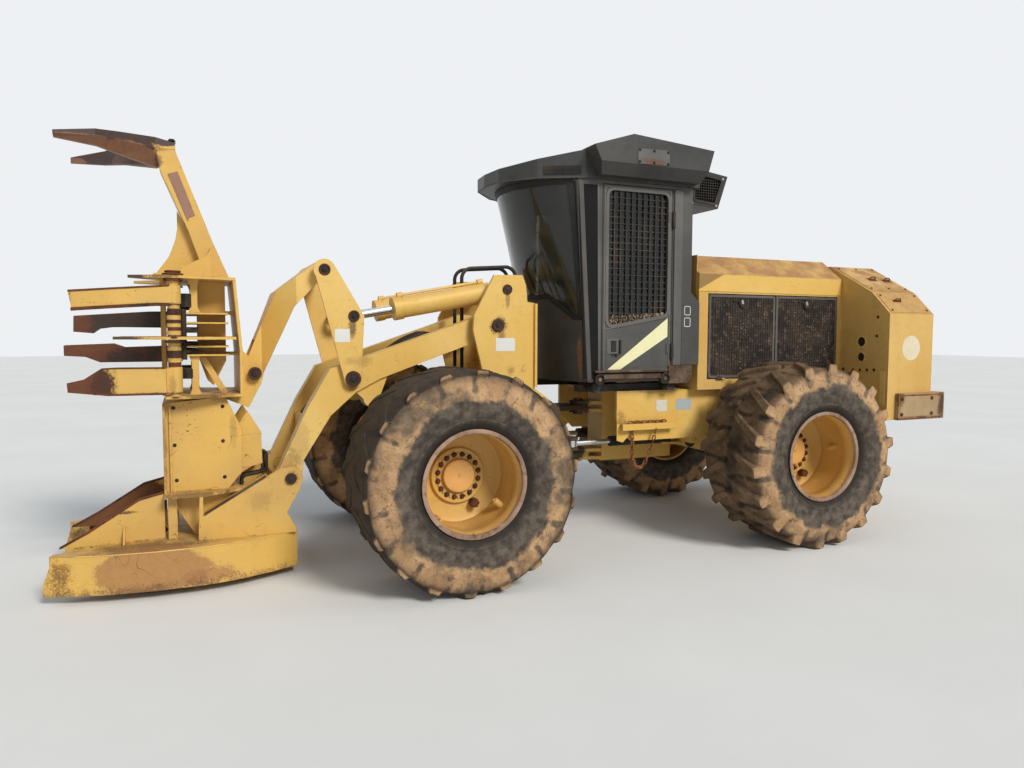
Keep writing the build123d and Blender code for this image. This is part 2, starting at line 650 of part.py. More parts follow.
def head_cage():
    """Plates above the body that hold the two arm shafts and the mast, with shelves behind the shafts."""
    plates = [
        (CAGE_LOW, 1880), (CAGE_MID, 2190), (CAGE_TOP - CAGE_SHEET, 2090),
    ]
    cage = None
    for z, front in plates:
        half = [(CAGE_BACK, CAGE_WALL_Y), (SHAFT_X - 60, CAGE_Y), (SHAFT_X + 60, CAGE_Y),
                (front, CAGE_Y - 120),
                (front - 120, 200), (BODY_FRONT - 30, 120)]
        plate = flat_plate(half + [(x, -y) for x, y in reversed(half)], z, z + CAGE_SHEET)
        cage = plate if cage is None else cage + plate
    bend = 1640
    wall = [(CAGE_BACK + 20, CAGE_TOP), (CAGE_BACK, CAGE_TOP), (CAGE_WALL_LOW, bend),
            (CAGE_WALL_LOW, CAGE_LOW),
            (CAGE_WALL_LOW + 20, CAGE_LOW), (CAGE_WALL_LOW + 20, bend)]
    cage += side_plate(wall, -CAGE_WALL_Y, CAGE_WALL_Y)
    foot = block((CAGE_WALL_LOW, 1500), (-CAGE_WALL_Y, CAGE_WALL_Y), (CAGE_LOW, CAGE_LOW + CAGE_SHEET))
    cage += foot
    upper_panel = [(1470, 1590), (1470, CAGE_TOP), (1660, CAGE_TOP), (1660, 1590)]
    lower_panel = [(1470, 1600), (1660, 1600), (1600, 1420), (1560, 1380), (1470, 1560)]
    cage += both_sides(side_plate(upper_panel, 120, 140) + side_plate(lower_panel, 120, 140))
    cage += block((CAGE_WALL_LOW + 10, 1475), (-140, 140), (1600, 1620)) + block((1400, 1475), (-140, 140),
                                                                                 (1900, 1920))
    for z in SHELVES:
        cage += both_sides(block((1460, SHELF_FRONT), (120, CAGE_WALL_Y - 20), (z, z + SHELF_T)))
    for low, high in POSTS:
        post = [(1640, low), (1720, low), (1706, low + 40), (1706, high - 40), (1722, high), (1646, high),
                (1658, high - 40),
                (1658, low + 40)]
        cage += both_sides(side_plate(post, 300, 322))
    brace = [(1450, CAGE_LOW), (1500, CAGE_LOW), (1660, 1590), (1610, 1590)]
    cage += both_sides(side_plate(brace, 230, 250))
    cage += block((BODY_FRONT - 32, BODY_FRONT), (-120, 120), (CAGE_LOW, CAGE_TOP))
    for y in (SHAFT_Y, -SHAFT_Y):
        cage -= round_z((SHAFT_X, y), SHAFT_R + RUN_FIT, CAGE_LOW - 1, CAGE_TOP + 1)
    return cage


def mast():
    """The leaning post on the cage, its gussets, and the two-pronged fork."""
    top = CAGE_TOP + 905
    outline = [(1430, CAGE_TOP), (1540, 2410), (1780, top), (1905, top), (1882, 2919), (1700, 2480),
               (1590, CAGE_TOP)]
    post = side_plate(outline, -MAST_HALF_W, MAST_HALF_W)
    inner = [(1465, CAGE_TOP), (1570, 2400), (1795, 2945), (1855, 2900), (1672, 2470), (1562, CAGE_TOP)]
    post -= side_plate(inner, -MAST_HALF_W + 20, MAST_HALF_W - 20)
    front = [(1560, CAGE_TOP), (1925, CAGE_TOP + 38), (1875, 2256), (1835, 2315), (1812, 2377),
             (1790, 2440), (1779, 2510),
             (1778, 2641), (1690, 2470)]
    post += side_plate(front, -20, 20) + block((1560, 1945), (-20, 20), (CAGE_TOP, CAGE_TOP + 40))
    side_gusset = [(1560, CAGE_TOP), (1766, CAGE_TOP), (1759, 2226), (1661, 2277), (1610, 2298),
                   (1584, 2321), (1566, 2350),
                   (1560, 2381)]
    post += both_sides(side_plate(side_gusset, MAST_HALF_W - 10, MAST_HALF_W + 70))
    prongs = [faceted([fork_ring(*row) for row in FORK_RINGS]),
              faceted([fork_ring(*row) for row in FAR_RINGS])]
    return post + prongs[0] + prongs[1]


def fork_ring(x, inner_y, outer_y, top, bend, low):
    """One section of a prong: upright outer face, then a bevel down to the lower edge."""
    return [(x, inner_y, top), (x, outer_y, top), (x, outer_y, bend), (x, (inner_y + outer_y) / 2, low),
            (x, inner_y, low)]


def faceted(sections):
    """A flat-faced solid through these rings of points, which have one point count."""
    outlines = [sections[0], sections[-1]]
    for low, high in zip(sections, sections[1:]):
        for index in range(len(low)):
            after = (index + 1) % len(low)
            outlines.append([low[index], low[after], high[after]])
            outlines.append([low[index], high[after], high[index]])
    return Solid(Shell([Face(Wire.make_polygon(outline)) for outline in outlines]))


def saw_housing():
    """Round-backed skirt with two horns, and an open mouth for the disc between them."""
    half = [
        (1020, 0), (1020, 410), (1180, 495), (1360, 570), (1520, 617), (1690, 640), (1960, 640), (2220, 615),
        (2430, 565), (FRONT_REACH - 40, HORN_Y), (FRONT_REACH - 70, HORN_Y - 60), (2150, WING_Y),
        (1930, WING_Y - 20), (1880, 0),
    ]
    points = half + [(x, -y) for x, y in reversed(half[1:-1])]
    inner_half = [
        (1040, 0), (1040, 398), (1366, 550), (1692, 620), (1958, 620), (2216, 590), (2440, 520),
        (2440, 0),
    ]
    inner = inner_half + [(x, -y) for x, y in reversed(inner_half[1:-1])]
    shell = flat_plate(points, SKIRT_LOW, SKIRT_TOP)
    nose = [(2430, SKIRT_LOW), (FRONT_REACH, SKIRT_LOW), (FRONT_REACH, 130), (FRONT_REACH - 40, 250),
            (FRONT_REACH - 50, SKIRT_TOP),
            (2430, SKIRT_TOP)]
    tips = [(2425, 566), (FRONT_REACH, HORN_Y), (FRONT_REACH - 70, HORN_Y - 60), (2400, 400)]
    shell += both_sides(side_plate(nose, 300, 600) & flat_plate(tips, SKIRT_LOW, SKIRT_TOP))
    return shell - flat_plate(inner, SKIRT_LOW + SKIRT_T, SKIRT_TOP - SKIRT_T)


def head_wings():
    """Inboard guide plates on the horns, each with a small gusset."""
    rise = [(2550, SKIRT_TOP), (2377, 410), (2060, 610), (BODY_FRONT + 1, 650), (BODY_FRONT + 1, SKIRT_TOP)]
    small = cross_plate([(WING_Y + 20, SKIRT_TOP), (WING_Y + 130, SKIRT_TOP),
                         (WING_Y + 20, SKIRT_TOP + 120)], 2150, 2162)
    return both_sides(side_plate(rise, WING_Y, WING_Y + 20) + small)


def saw_disc():
    """The felling disc with its tooth holders round the rim."""
    disc = round_z((SAW_X, 0), SAW_R - 40, SAW_LOW, SAW_LOW + SAW_T)
    teeth = []
    for index in range(SAW_TEETH):
        tooth = block((SAW_R - 60, SAW_R), (-28, 28), (SAW_LOW - 8, SAW_LOW + SAW_T + 8))
        teeth.append(Pos(SAW_X, 0, 0) * Rot(0, 0, index * 360 / SAW_TEETH) * tooth)
    hub = round_z((SAW_X, 0), 110, SAW_LOW + SAW_T, SKIRT_TOP - SKIRT_T - SEAT_GAP)
    return disc.fuse(*teeth) + hub


def gathering_arm(side, fingers):
    """One arm: a shaft with collars, and fingers from rows of (plan outline, side outline)."""
    arm = round_z((SHAFT_X, SHAFT_Y), SHAFT_R, CAGE_LOW, CAGE_TOP + 25)
    for low, high in COLLARS:
        arm += round_z((SHAFT_X, SHAFT_Y), COLLAR_R, low, high)
    for plan, profile in fingers:
        heights = [z for x, z in profile]
        low, high = min(heights), max(heights)
        bar = flat_plate([(x, y + SHAFT_Y) for x, y in plan], low, high)
        root = [z for x, z in profile if x < SHAFT_X + 1]
        arm += bar & side_plate(profile, SHAFT_Y - 200, SHAFT_Y + 200)
        arm += round_z((SHAFT_X, SHAFT_Y), SLEEVE_R, min(root), max(root))
    return arm if side > 0 else mirror(arm, about=Plane.XZ)


# Rear frame

def rear_chassis():
    """Rails, deck, articulated nose with fork plates, and the steering-cylinder pins."""
    outline = [
        (FRAME_FRONT, DECK_Z), (FRAME_FRONT, 1000), (FRAME_FRONT - 150, FRAME_LOW),
        (FRAME_REAR, FRAME_LOW), (FRAME_REAR, DECK_Z),
    ]
    frame = both_sides(side_plate(outline, FRAME_Y - FRAME_PLATE, FRAME_Y))
    inner_y = FRAME_Y - FRAME_PLATE
    frame += block((FRAME_REAR, FRAME_FRONT - 40), (-inner_y, inner_y), (DECK_Z - DECK_T, DECK_Z))
    frame += block((FRAME_REAR, -2420), (-inner_y, inner_y), (FRAME_LOW, FRAME_LOW + DECK_T))
    frame += both_sides(block((-2200, -1630), (FRAME_Y, FRAME_Y + 55), (LEDGE_Z, LEDGE_Z + 14)))
    nose_low, nose_high = ART_LOWER_Z - 60, ART_UPPER_Z + 60
    nose_top = DECK_Z - DECK_T
    frame += block((-2440, -1700), (-NOSE_HALF_W, NOSE_HALF_W), (nose_low, nose_top))
    frame += block((-2440, -2400), (-inner_y, inner_y), (FRAME_LOW - 60, nose_top))
    half = ART_LUG_T / 2
    for z in (ART_UPPER_Z, ART_LOWER_Z):
        for low in (z - half - SEAT_GAP - 30, z + half + SEAT_GAP):
            fork = flat_plate([(-1710, -NOSE_HALF_W), (-1710, NOSE_HALF_W), (ART_X, 85), (ART_X, -85)], low,
                              low + 30)
            frame += fork + round_z((ART_X, 0), 85, low, low + 30)
        frame += round_z((ART_X, 0), ART_PIN_R, z - half - 50, z + half + 50)
    pin_x = ART_X - STEER_REAR_ARM
    pin_half = STEER_EYE_T / 2 + 6
    for low in (STEER_Z - pin_half - 22, STEER_Z + pin_half):
        ear = block((pin_x - 140, pin_x), (STEER_Y - 50, STEER_Y + 50), (low, low + 22))
        ear += round_z((pin_x, STEER_Y), 50, low, low + 22)
        frame += both_sides(ear)
    frame += both_sides(round_z((pin_x, STEER_Y), 26, STEER_Z - pin_half - 22, STEER_Z + pin_half + 22))
    arch = block((-WHEELBASE - 260, -WHEELBASE + 260), (-FRAME_Y - 5, FRAME_Y + 5), (FRAME_LOW - 5, 950))
    frame -= arch
    frame += block((-WHEELBASE - 290, -WHEELBASE - 260), (-inner_y, inner_y),
                   (FRAME_LOW - 190, DECK_Z - DECK_T))
    frame += block((-WHEELBASE + 260, -WHEELBASE + 290), (-inner_y, inner_y),
                   (FRAME_LOW - 190, DECK_Z - DECK_T))
    return frame - round_x((0, TYRE_R), TRUNNION_R, -WHEELBASE - 300, -WHEELBASE + 300)


def hanging_chain():
    """A short chain that hangs from the ledge, its links turned a quarter each time."""
    outer = Rectangle(LINK_WIDE, LINK_LEN) - Rectangle(LINK_WIDE - 2 * LINK_BAR, LINK_LEN - 2 * LINK_BAR)
    link = extrude(Plane.XZ * outer, amount=LINK_BAR / 2, both=True)
    links = []
    for index in range(CHAIN_LINKS):
        z = LEDGE_Z - LINK_LEN / 2 - index * (LINK_LEN - 2 * LINK_BAR)
        links.append(Pos(CHAIN_X, FRAME_Y + 30, z) * Rot(0, 0, 90 * (index % 2)) * link)
    return links[0].fuse(*links[1:])


def bowed_section(front_x, bow, z, thickness):
    """Plan section of a bowed wall, from pillar to pillar, at one height."""
    y = CAB_Y - CAB_WALL
    outer = ThreePointArc((front_x, -y, z), (front_x + bow, 0, z), (front_x, y, z))
    inner = ThreePointArc((front_x - thickness, y, z), (front_x + bow - thickness, 0, z),
                          (front_x - thickness, -y, z))
    edges = [outer, Line(outer @ 1, inner @ 0), inner, Line(inner @ 1, outer @ 0)]
    return make_face(edges)


def pillar_x(z):
    """Front edge of the cab's side at this height."""
    return PILLAR_LOW_X + (PILLAR_TOP_X - PILLAR_LOW_X) * (z - CAB_LOW) / (CAB_EAVE - CAB_LOW)


def bowed_wall(z_low, z_high, bow_low, bow_high, thickness):
    """A bowed wall between two heights."""
    sections = [
        bowed_section(pillar_x(z_low), bow_low, z_low, thickness),
        bowed_section(pillar_x(z_high), bow_high, z_high, thickness),
    ]
    return loft(sections, ruled=True)


def cab_shell():
    """Side, rear and lower front walls, floor and window and door openings."""
    outline = [
        (PILLAR_LOW_X, CAB_LOW), (PILLAR_TOP_X, CAB_EAVE), (CAB_REAR, CAB_EAVE), (CAB_REAR, CAB_LOW),
    ]
    wall_in = CAB_Y - CAB_WALL
    shell = both_sides(side_plate(outline, wall_in, CAB_Y))
    shell += block((CAB_REAR, CAB_REAR + CAB_WALL), (-wall_in, wall_in), (CAB_LOW, CAB_EAVE))
    shell += block((CAB_REAR + CAB_WALL, pillar_x(CAB_LOW) - CAB_WALL), (-wall_in, wall_in),
                   (CAB_LOW, CAB_LOW + CAB_WALL))
    shell += bowed_wall(CAB_LOW, SILL_Z, BOW_LOW, BOW_LOW, CAB_WALL)
    shell += bowed_wall(SILL_Z, CAB_EAVE, BOW_LOW, BOW_TOP, GLASS_T) & sill_panel_space()
    door_hole = block((DOOR_REAR, DOOR_FRONT), (wall_in - 1, CAB_Y + 1), (DOOR_LOW, DOOR_TOP))
    side_window = block(SIDE_WINDOW_X, (-CAB_Y - 1, -wall_in + 1), (SILL_Z + 20, WINDOW_TOP))
    rear_window = block((CAB_REAR - 1, CAB_REAR + CAB_WALL + 1), (-500, 500), (REAR_WINDOW_LOW, WINDOW_TOP))
    shell = shell - door_hole - side_window - rear_window
    for z_low in DOOR_HINGE_Z:
        shell += door_hinge_base(z_low)
    return shell


def windshield():
    """The bowed front glass that leans forward above the sill."""
    return bowed_wall(SILL_Z, CAB_EAVE, BOW_LOW, BOW_TOP, GLASS_T) - sill_panel_space()


def sill_panel_space():
    """The space of the raised panel in the middle of the sill, seen from the front."""
    points = [(-SILL_FOOT_Y, SILL_Z - 1), (-SILL_TOP_Y, SILL_TOP_Z), (SILL_TOP_Y, SILL_TOP_Z),
              (SILL_FOOT_Y, SILL_Z - 1)]
    return cross_plate(points, PILLAR_LOW_X - 100, VISOR_X)


def cab_guards():
    """Bar guards of the right and rear windows."""
    return bar_grid(SIDE_WINDOW_X, (SILL_Z + 20, WINDOW_TOP), -CAB_Y + CAB_WALL / 2)


def bar_grid(x, z, y):
    """Upright wires in front of level wires, over this side opening."""
    wires = None
    count_x = int((x[1] - x[0]) / MESH_PITCH)
    count_z = int((z[1] - z[0]) / MESH_PITCH)
    half = MESH_WIRE / 2
    for index in range(1, count_x):
        centre = x[0] + (x[1] - x[0]) * index / count_x
        wire = block((centre - half, centre + half), (y, y + MESH_WIRE), z)
        wires = wire if wires is None else wires + wire
    for index in range(1, count_z):
        centre = z[0] + (z[1] - z[0]) * index / count_z
        wire = block(x, (y - MESH_WIRE, y), (centre - half, centre + half))
        wires += wire
    return wires


def door_hinge(z_low):
    """One hinge barrel with its leaf, open for the pin."""
    barrel = round_z((DOOR_HINGE_X, DOOR_HINGE_Y), HINGE_R, z_low, z_low + HINGE_LEN)
    barrel += block((DOOR_HINGE_X, DOOR_HINGE_X + 50), (CAB_Y, CAB_Y + 8), (z_low, z_low + HINGE_LEN))
    return barrel - round_z((DOOR_HINGE_X, DOOR_HINGE_Y), HINGE_PIN_R + RUN_FIT, z_low - 1,
                            z_low + HINGE_LEN + 1)


def door_hinge_base(z_low):
    """The cab's half of a hinge: a knuckle below the barrel, its leaf and the pin."""
    low, high = z_low - 40, z_low - SEAT_GAP
    knuckle = round_z((DOOR_HINGE_X, DOOR_HINGE_Y), HINGE_R, low, high)
    knuckle += block((DOOR_HINGE_X - 50, DOOR_HINGE_X), (CAB_Y, CAB_Y + 8), (low, high))
    return knuckle + round_z((DOOR_HINGE_X, DOOR_HINGE_Y), HINGE_PIN_R, low, z_low + HINGE_LEN)


def door_outline():
    """Corners of the door's window, low at the front."""
    return [
        (DOOR_REAR + 50, 1930), (DOOR_REAR + 50, DOOR_TOP - 50),
        (DOOR_FRONT - 60, DOOR_TOP - 50), (DOOR_FRONT - 60, 1830),
    ]


def cab_door():
    """The door panel with its window cut and a recessed handle."""
    limits_x = (DOOR_REAR + DOOR_GAP, DOOR_FRONT - DOOR_GAP)
    limits_z = (DOOR_LOW + DOOR_GAP, DOOR_TOP - DOOR_GAP)
    panel = block(limits_x, (CAB_Y - CAB_WALL, CAB_Y), limits_z)
    window = side_plate(door_outline(), CAB_Y - CAB_WALL - 1, CAB_Y + 1)
    handle = block((DOOR_FRONT - 150, DOOR_FRONT - 90), (CAB_Y - 18, CAB_Y + 1), (1570, 1660))
    door = panel - window - handle
    for z_low in DOOR_HINGE_Z:
        door += door_hinge(z_low)
    return door


def door_guard():
    """The wire guard in the door's window."""
    lows = door_outline()
    grid = bar_grid((lows[0][0], lows[2][0]), (1830, lows[1][1]), CAB_Y - CAB_WALL / 2)
    return grid & side_plate(lows, CAB_Y - CAB_WALL, CAB_Y)


def cab_roof():
    """The faceted roof with its visor and the two side pods."""
    eave = CAB_EAVE
    profile = [
        (VISOR_X, eave), (VISOR_X, eave + 100), (-1250, eave + 230), (-1550, eave + 300),
        (ROOF_REAR, eave + 230),
        (ROOF_REAR, eave),
    ]
    plan = [(VISOR_X, 0), (VISOR_X - 30, 240), (-860, 520), (-1200, 700), (ROOF_REAR, 700)]
    plan += [(x, -y) for x, y in reversed(plan[1:])]
    roof = side_plate(profile, -720, 720) & flat_plate(plan, eave, eave + 400)
    floor = eave + ROOF_LIP
    attic = [
        (-760, floor), (-760, eave + 90), (-1255, eave + 195), (-1550, eave + 262), (-2280, eave + 195),
        (-2280, floor),
    ]
    attic_plan = [(-760, 0), (-780, 200), (-930, 480), (-1215, 640), (ROOF_REAR, 640)]
    attic_plan += [(x, -y) for x, y in reversed(attic_plan[1:])]
    roof -= side_plate(attic, -640, 640) & flat_plate(attic_plan, eave, eave + 400)
    pod_side = [(-1300, floor), (-1200, eave + 230), (-1550, eave + 340), (-2330, eave + 280), (-2250, floor)]
    pod_end = [(640, floor), (780, floor), (850, eave + 110), (850, eave + 345), (640, eave + 345)]
    pod = side_plate(pod_side, 640, 860) & cross_plate(pod_end, -2400, -1100)
    return roof + both_sides(pod)


def roof_box():
    """The box behind the roof, with its screened side."""
    eave = CAB_EAVE
    outer = [(ROOF_REAR, eave - 100), (ROOF_REAR, eave + 230), (-2750, eave + 170), (-2650, eave - 120)]
    inner = [(-2320, eave - 80), (-2320, eave + 207), (-2726, eave + 152), (-2636, eave - 99)]
    vent = [(-2400, eave - 50), (-2400, eave + 170), (-2680, eave + 130), (-2610, eave - 70)]
    box = side_plate(outer, -500, 500) - side_plate(inner, -480, 480)
    return box - side_plate(vent, -501, 501)


def operator_seat():
    """Cushion, back and pedestal."""
    x = -1850
    seat = block((x - 250, x + 250), (-260, 260), (1780, 1890))
    seat += side_plate([(x - 250, 1890), (x - 150, 1890), (x - 250, 2520), (x - 330, 2500)], -240, 240)
    return seat + block((x - 180, x + 160), (-180, 180), (CAB_LOW + CAB_WALL, 1780))


def cab_controls():
    """Arm pods with levers beside the seat."""
    pod = block((-1950, -1480), (330, 450), (CAB_LOW + CAB_WALL, 2020))
    lever = block((-1560, -1520), (370, 410), (2020, 2200))
    return both_sides(pod + lever)


def cab_mounts():
    """Rails and round mounts between the deck and the cab."""
    rail = block((-2180, -1260), (420, 520), (DECK_Z, CAB_LOW - 30))
    pads = round_y((-1350, DECK_Z + 42), 41, 520, 640) + round_y((-2080, DECK_Z + 42), 41, 520, 640)
    post = block((-1400, -1300), (420, 520), (CAB_LOW - 30, CAB_LOW)) + block((-2130, -2030), (420, 520),
                                                                              (CAB_LOW - 30, CAB_LOW))
    return both_sides(rail + pads + post)


def engine_block():
    """The engine, as one plain mass on the deck."""
    return block((-3750, -2650), (-320, 320), (DECK_Z, 2050))


def hood():
    """Sheet hood over the engine, with its side openings for the screens."""
    outer = [
        (-HOOD_Y, DECK_Z), (-HOOD_Y, HOOD_EAVE), (-HOOD_RIDGE_Y, HOOD_TOP), (HOOD_RIDGE_Y, HOOD_TOP),
        (HOOD_Y, HOOD_EAVE), (HOOD_Y, DECK_Z),
    ]
    t = HOOD_SHEET
    inner = [
        (-HOOD_Y + t, DECK_Z + t), (-HOOD_Y + t, HOOD_EAVE - t / 2), (-HOOD_RIDGE_Y + t / 2, HOOD_TOP - t),
        (HOOD_RIDGE_Y - t / 2, HOOD_TOP - t), (HOOD_Y - t, HOOD_EAVE - t / 2), (HOOD_Y - t, DECK_Z + t),
    ]
    shell = cross_plate(outer, HOOD_REAR, HOOD_FRONT) - cross_plate(inner, HOOD_REAR - 1, HOOD_FRONT - t)
    floor_cut = block((HOOD_REAR - 1, HOOD_FRONT - t), (-FRAME_Y + 60, FRAME_Y - 60),
                      (DECK_Z - 1, DECK_Z + t + 1))
    sides = block((SCREEN_REAR, SCREEN_FRONT), (-HOOD_Y - 1, HOOD_Y + 1), (SCREEN_LOW, SCREEN_TOP))
    shell = shell - floor_cut - sides
    centre = (SCREEN_HINGE_Y, SCREEN_LOW)
    for start in screen_hinges(True) + screen_hinges(False):
        low, high = start - 30, start - SEAT_GAP
        base = round_x(centre, SCREEN_HINGE_R, low, high)
        base += block((low, high), (HOOD_Y, HOOD_Y + 4), (SCREEN_LOW - 25, SCREEN_LOW))
        base += round_x(centre, SCREEN_HINGE_PIN_R, low, start + SCREEN_HINGE_LEN)
        shell += both_sides(base)
    return shell


def screen_span(front):
    """X limits of the front or the rear screen."""
    middle = (SCREEN_FRONT + SCREEN_REAR) / 2
    if front:
        return middle + DOOR_GAP / 2, SCREEN_FRONT - DOOR_GAP
    return SCREEN_REAR + DOOR_GAP, middle - DOOR_GAP / 2


def screen_hinges(front):
    """X positions where a screen's two hinge barrels start."""
    low, high = screen_span(front)
    return low + 90, high - 90 - SCREEN_HINGE_LEN


def screen(side, front):
    """One hinged side screen: frame, sheet and latch boss."""
    x = screen_span(front)
    z = (SCREEN_LOW + DOOR_GAP, SCREEN_TOP - DOOR_GAP)
    y = (HOOD_Y - SCREEN_T, HOOD_Y)
    panel = block(x, y, z)
    panel -= block((x[0] + 25, x[1] - 25), (HOOD_Y - 4, HOOD_Y + 1), (z[0] + 25, z[1] - 25))
    panel += round_y(((x[0] + x[1]) / 2, z[1] - 70), 32, HOOD_Y - SCREEN_T, HOOD_Y + 8)
    centre = (SCREEN_HINGE_Y, SCREEN_LOW)
    for start in screen_hinges(front):
        end = start + SCREEN_HINGE_LEN
        panel += round_x(centre, SCREEN_HINGE_R, start, end) + block((start, end), (HOOD_Y, HOOD_Y + 4),
                                                                     (SCREEN_LOW, z[0] + 30))
        panel -= round_x(centre, SCREEN_HINGE_PIN_R + RUN_FIT, start - 1, end + 1)
    return panel if side > 0 else mirror(panel, about=Plane.XZ)


def housing_section(inset):
    """Corners of the radiator housing seen from behind, shrunk by this much."""
    t = inset
    half = [
        (HOUSING_Y - t, HOUSING_LOW + t), (HOUSING_Y - t, HOUSING_EAVE - t / 2), (1000 - t / 2, 2150 - t),
        (500, 2420 - t),
    ]
    return half + [(-y, z) for y, z in reversed(half)]


def rear_housing():
    """Wide sheet housing round the radiator, with side wings ahead and a rear opening."""
    t = HOOD_SHEET
    shell = cross_plate(housing_section(0), HOUSING_REAR, HOOD_REAR)
    shell -= cross_plate(housing_section(t), HOUSING_REAR - 1, HOOD_REAR - t)
    duct = block((HOOD_REAR - t - 1, HOOD_REAR + 1), (-480, 480), (DECK_Z + 40, 2300))
    holes = both_sides(round_x((900, 1700), 45, HOOD_REAR - t - 1, HOOD_REAR + 1))
    holes += both_sides(round_x((900, 1560), 40, HOOD_REAR - t - 1, HOOD_REAR + 1))
    return shell - duct - holes


def radiator():
    """The radiator core behind the hood."""
    return block((-4200, HOOD_REAR - HOOD_SHEET - SEAT_GAP), (-520, 520), (DECK_Z, 2250))


def rear_grille():
    """Framed bars that close the housing's rear."""
    frame = cross_plate(housing_section(HOOD_SHEET + SEAT_GAP), HOUSING_REAR, HOUSING_REAR + 25)
    frame -= block((HOUSING_REAR - 1, HOUSING_REAR + 26), (-900, 900), (1300, 2050))
    for index in range(1, 14):
        z = 1300 + 750 * index / 14
        frame += block((HOUSING_REAR, HOUSING_REAR + 20), (-900, 900), (z - 8, z + 8))
    return frame


def rear_bumper():
    """Box bumper across the rear that wraps round the housing's lower corners."""
    beam = block((REAR_REACH, HOUSING_REAR), (-HOUSING_Y - BUMPER_WRAP, HOUSING_Y + BUMPER_WRAP),
                 (BUMPER_LOW, BUMPER_TOP))
    ends = block((HOUSING_REAR, BUMPER_FRONT), (HOUSING_Y, HOUSING_Y + BUMPER_WRAP), (BUMPER_LOW, BUMPER_TOP))
    eye = block((TIE_DOWN_X - 55, TIE_DOWN_X + 50),
                (TIE_DOWN_Y - TIE_DOWN_T / 2, TIE_DOWN_Y + TIE_DOWN_T / 2),
                (TIE_DOWN_Z, BUMPER_LOW))
    eye += round_y((TIE_DOWN_X, TIE_DOWN_Z), 50, TIE_DOWN_Y - TIE_DOWN_T / 2, TIE_DOWN_Y + TIE_DOWN_T / 2)
    eye -= round_y((TIE_DOWN_X, TIE_DOWN_Z), TIE_DOWN_R, TIE_DOWN_Y - TIE_DOWN_T, TIE_DOWN_Y + TIE_DOWN_T)
    return beam + both_sides(ends + eye)


# Every node, by name

# Prong sections as (x, inner y, outer y, top, bend, lowest)
FORK_RINGS = [(1778, -60, 95, 3105, 3060, 3010), (1905, -40, 110, 3130, 3055, 2940),
              (2115, 120, 255, 3110, 3055, 2975),
              (2252, 290, 385, 3085, 3040, 2990), (2484, 395, 445, 3040, 3020, 3000)]
FAR_RINGS = [(x, -inner, -outer, top, bend, low) for x, inner, outer, top, bend, low in FORK_RINGS[1:]]

# Shelves and posts of the cage, and collars of the shafts, by height
SHELVES = (1600, 1660, 1825, 1890)
POSTS = ((CAGE_LOW + CAGE_SHEET, 1600), (1902, CAGE_TOP - CAGE_SHEET))
COLLARS = ((1560, 1590), (1640, 1665), (1680, 1705), (1745, 1775), (1800, 1825), (1850, 1880))

# Fingers as plan outline from the shaft, then side outline
BOX_PLAN = [(SHAFT_X, -30), (SHAFT_X, 45), (1905, 60), (2190, 75), (2432, 40), (2432, -40), (2190, -20),
            (1905, -40)]
FLARED_PLAN = [(SHAFT_X, -30), (SHAFT_X, 44), (1864, 46), (1866, 88), (2155, 92), (2454, 45), (2454, 0),
               (2155, 0), (1866, -40)]
LONG_PLAN = [(SHAFT_X, -30), (SHAFT_X, 45), (1905, 60), (2240, 75), (2568, 35), (2568, -30), (2240, -20),
             (1905, -40)]
LEFT_FINGERS = [
    (BOX_PLAN, [(SHAFT_X, 1956), (SHAFT_X, 2083), (1911, 2076), (2432, 2033), (2412, 1912), (1915, 1952)]),
    (FLARED_PLAN, [(SHAFT_X, 1350), (SHAFT_X, 1527), (2155, 1529), (2255, 1524), (2359, 1454), (2454, 1432),
                   (2450, 1372), (2214, 1346)]),
]
RIGHT_FINGERS = [
    (LONG_PLAN,
     [(SHAFT_X, 1800), (SHAFT_X, 1925), (1993, 1922), (2498, 1884), (2502, 1767), (2375, 1756), (2331, 1790),
                 (2250, 1802), (2175, 1803)]),
    (LONG_PLAN,
     [(SHAFT_X, 1540), (SHAFT_X, 1660), (2167, 1648), (2241, 1677), (2568, 1664), (2567, 1589), (2429, 1580),
                 (2332, 1538)]),
]

tilt_barrels = cylinder_barrels(TILT_BASE, TILT_EYE, TILT_BARREL_R, TILT_BARREL_LEN, PIN_R)
tilt_barrels = bored(tilt_barrels, TILT_BASE, TILT_EYE, TILT_BARREL_LEN, TILT_ROD_R, TILT_BORE)
lift_barrels = cylinder_barrels(LIFT_BASE, LIFT_EYE, LIFT_BARREL_R, LIFT_BARREL_LEN, PIN_R)
lift_barrels = bored(lift_barrels, LIFT_BASE, LIFT_EYE, LIFT_BARREL_LEN, LIFT_ROD_R, LIFT_BORE)

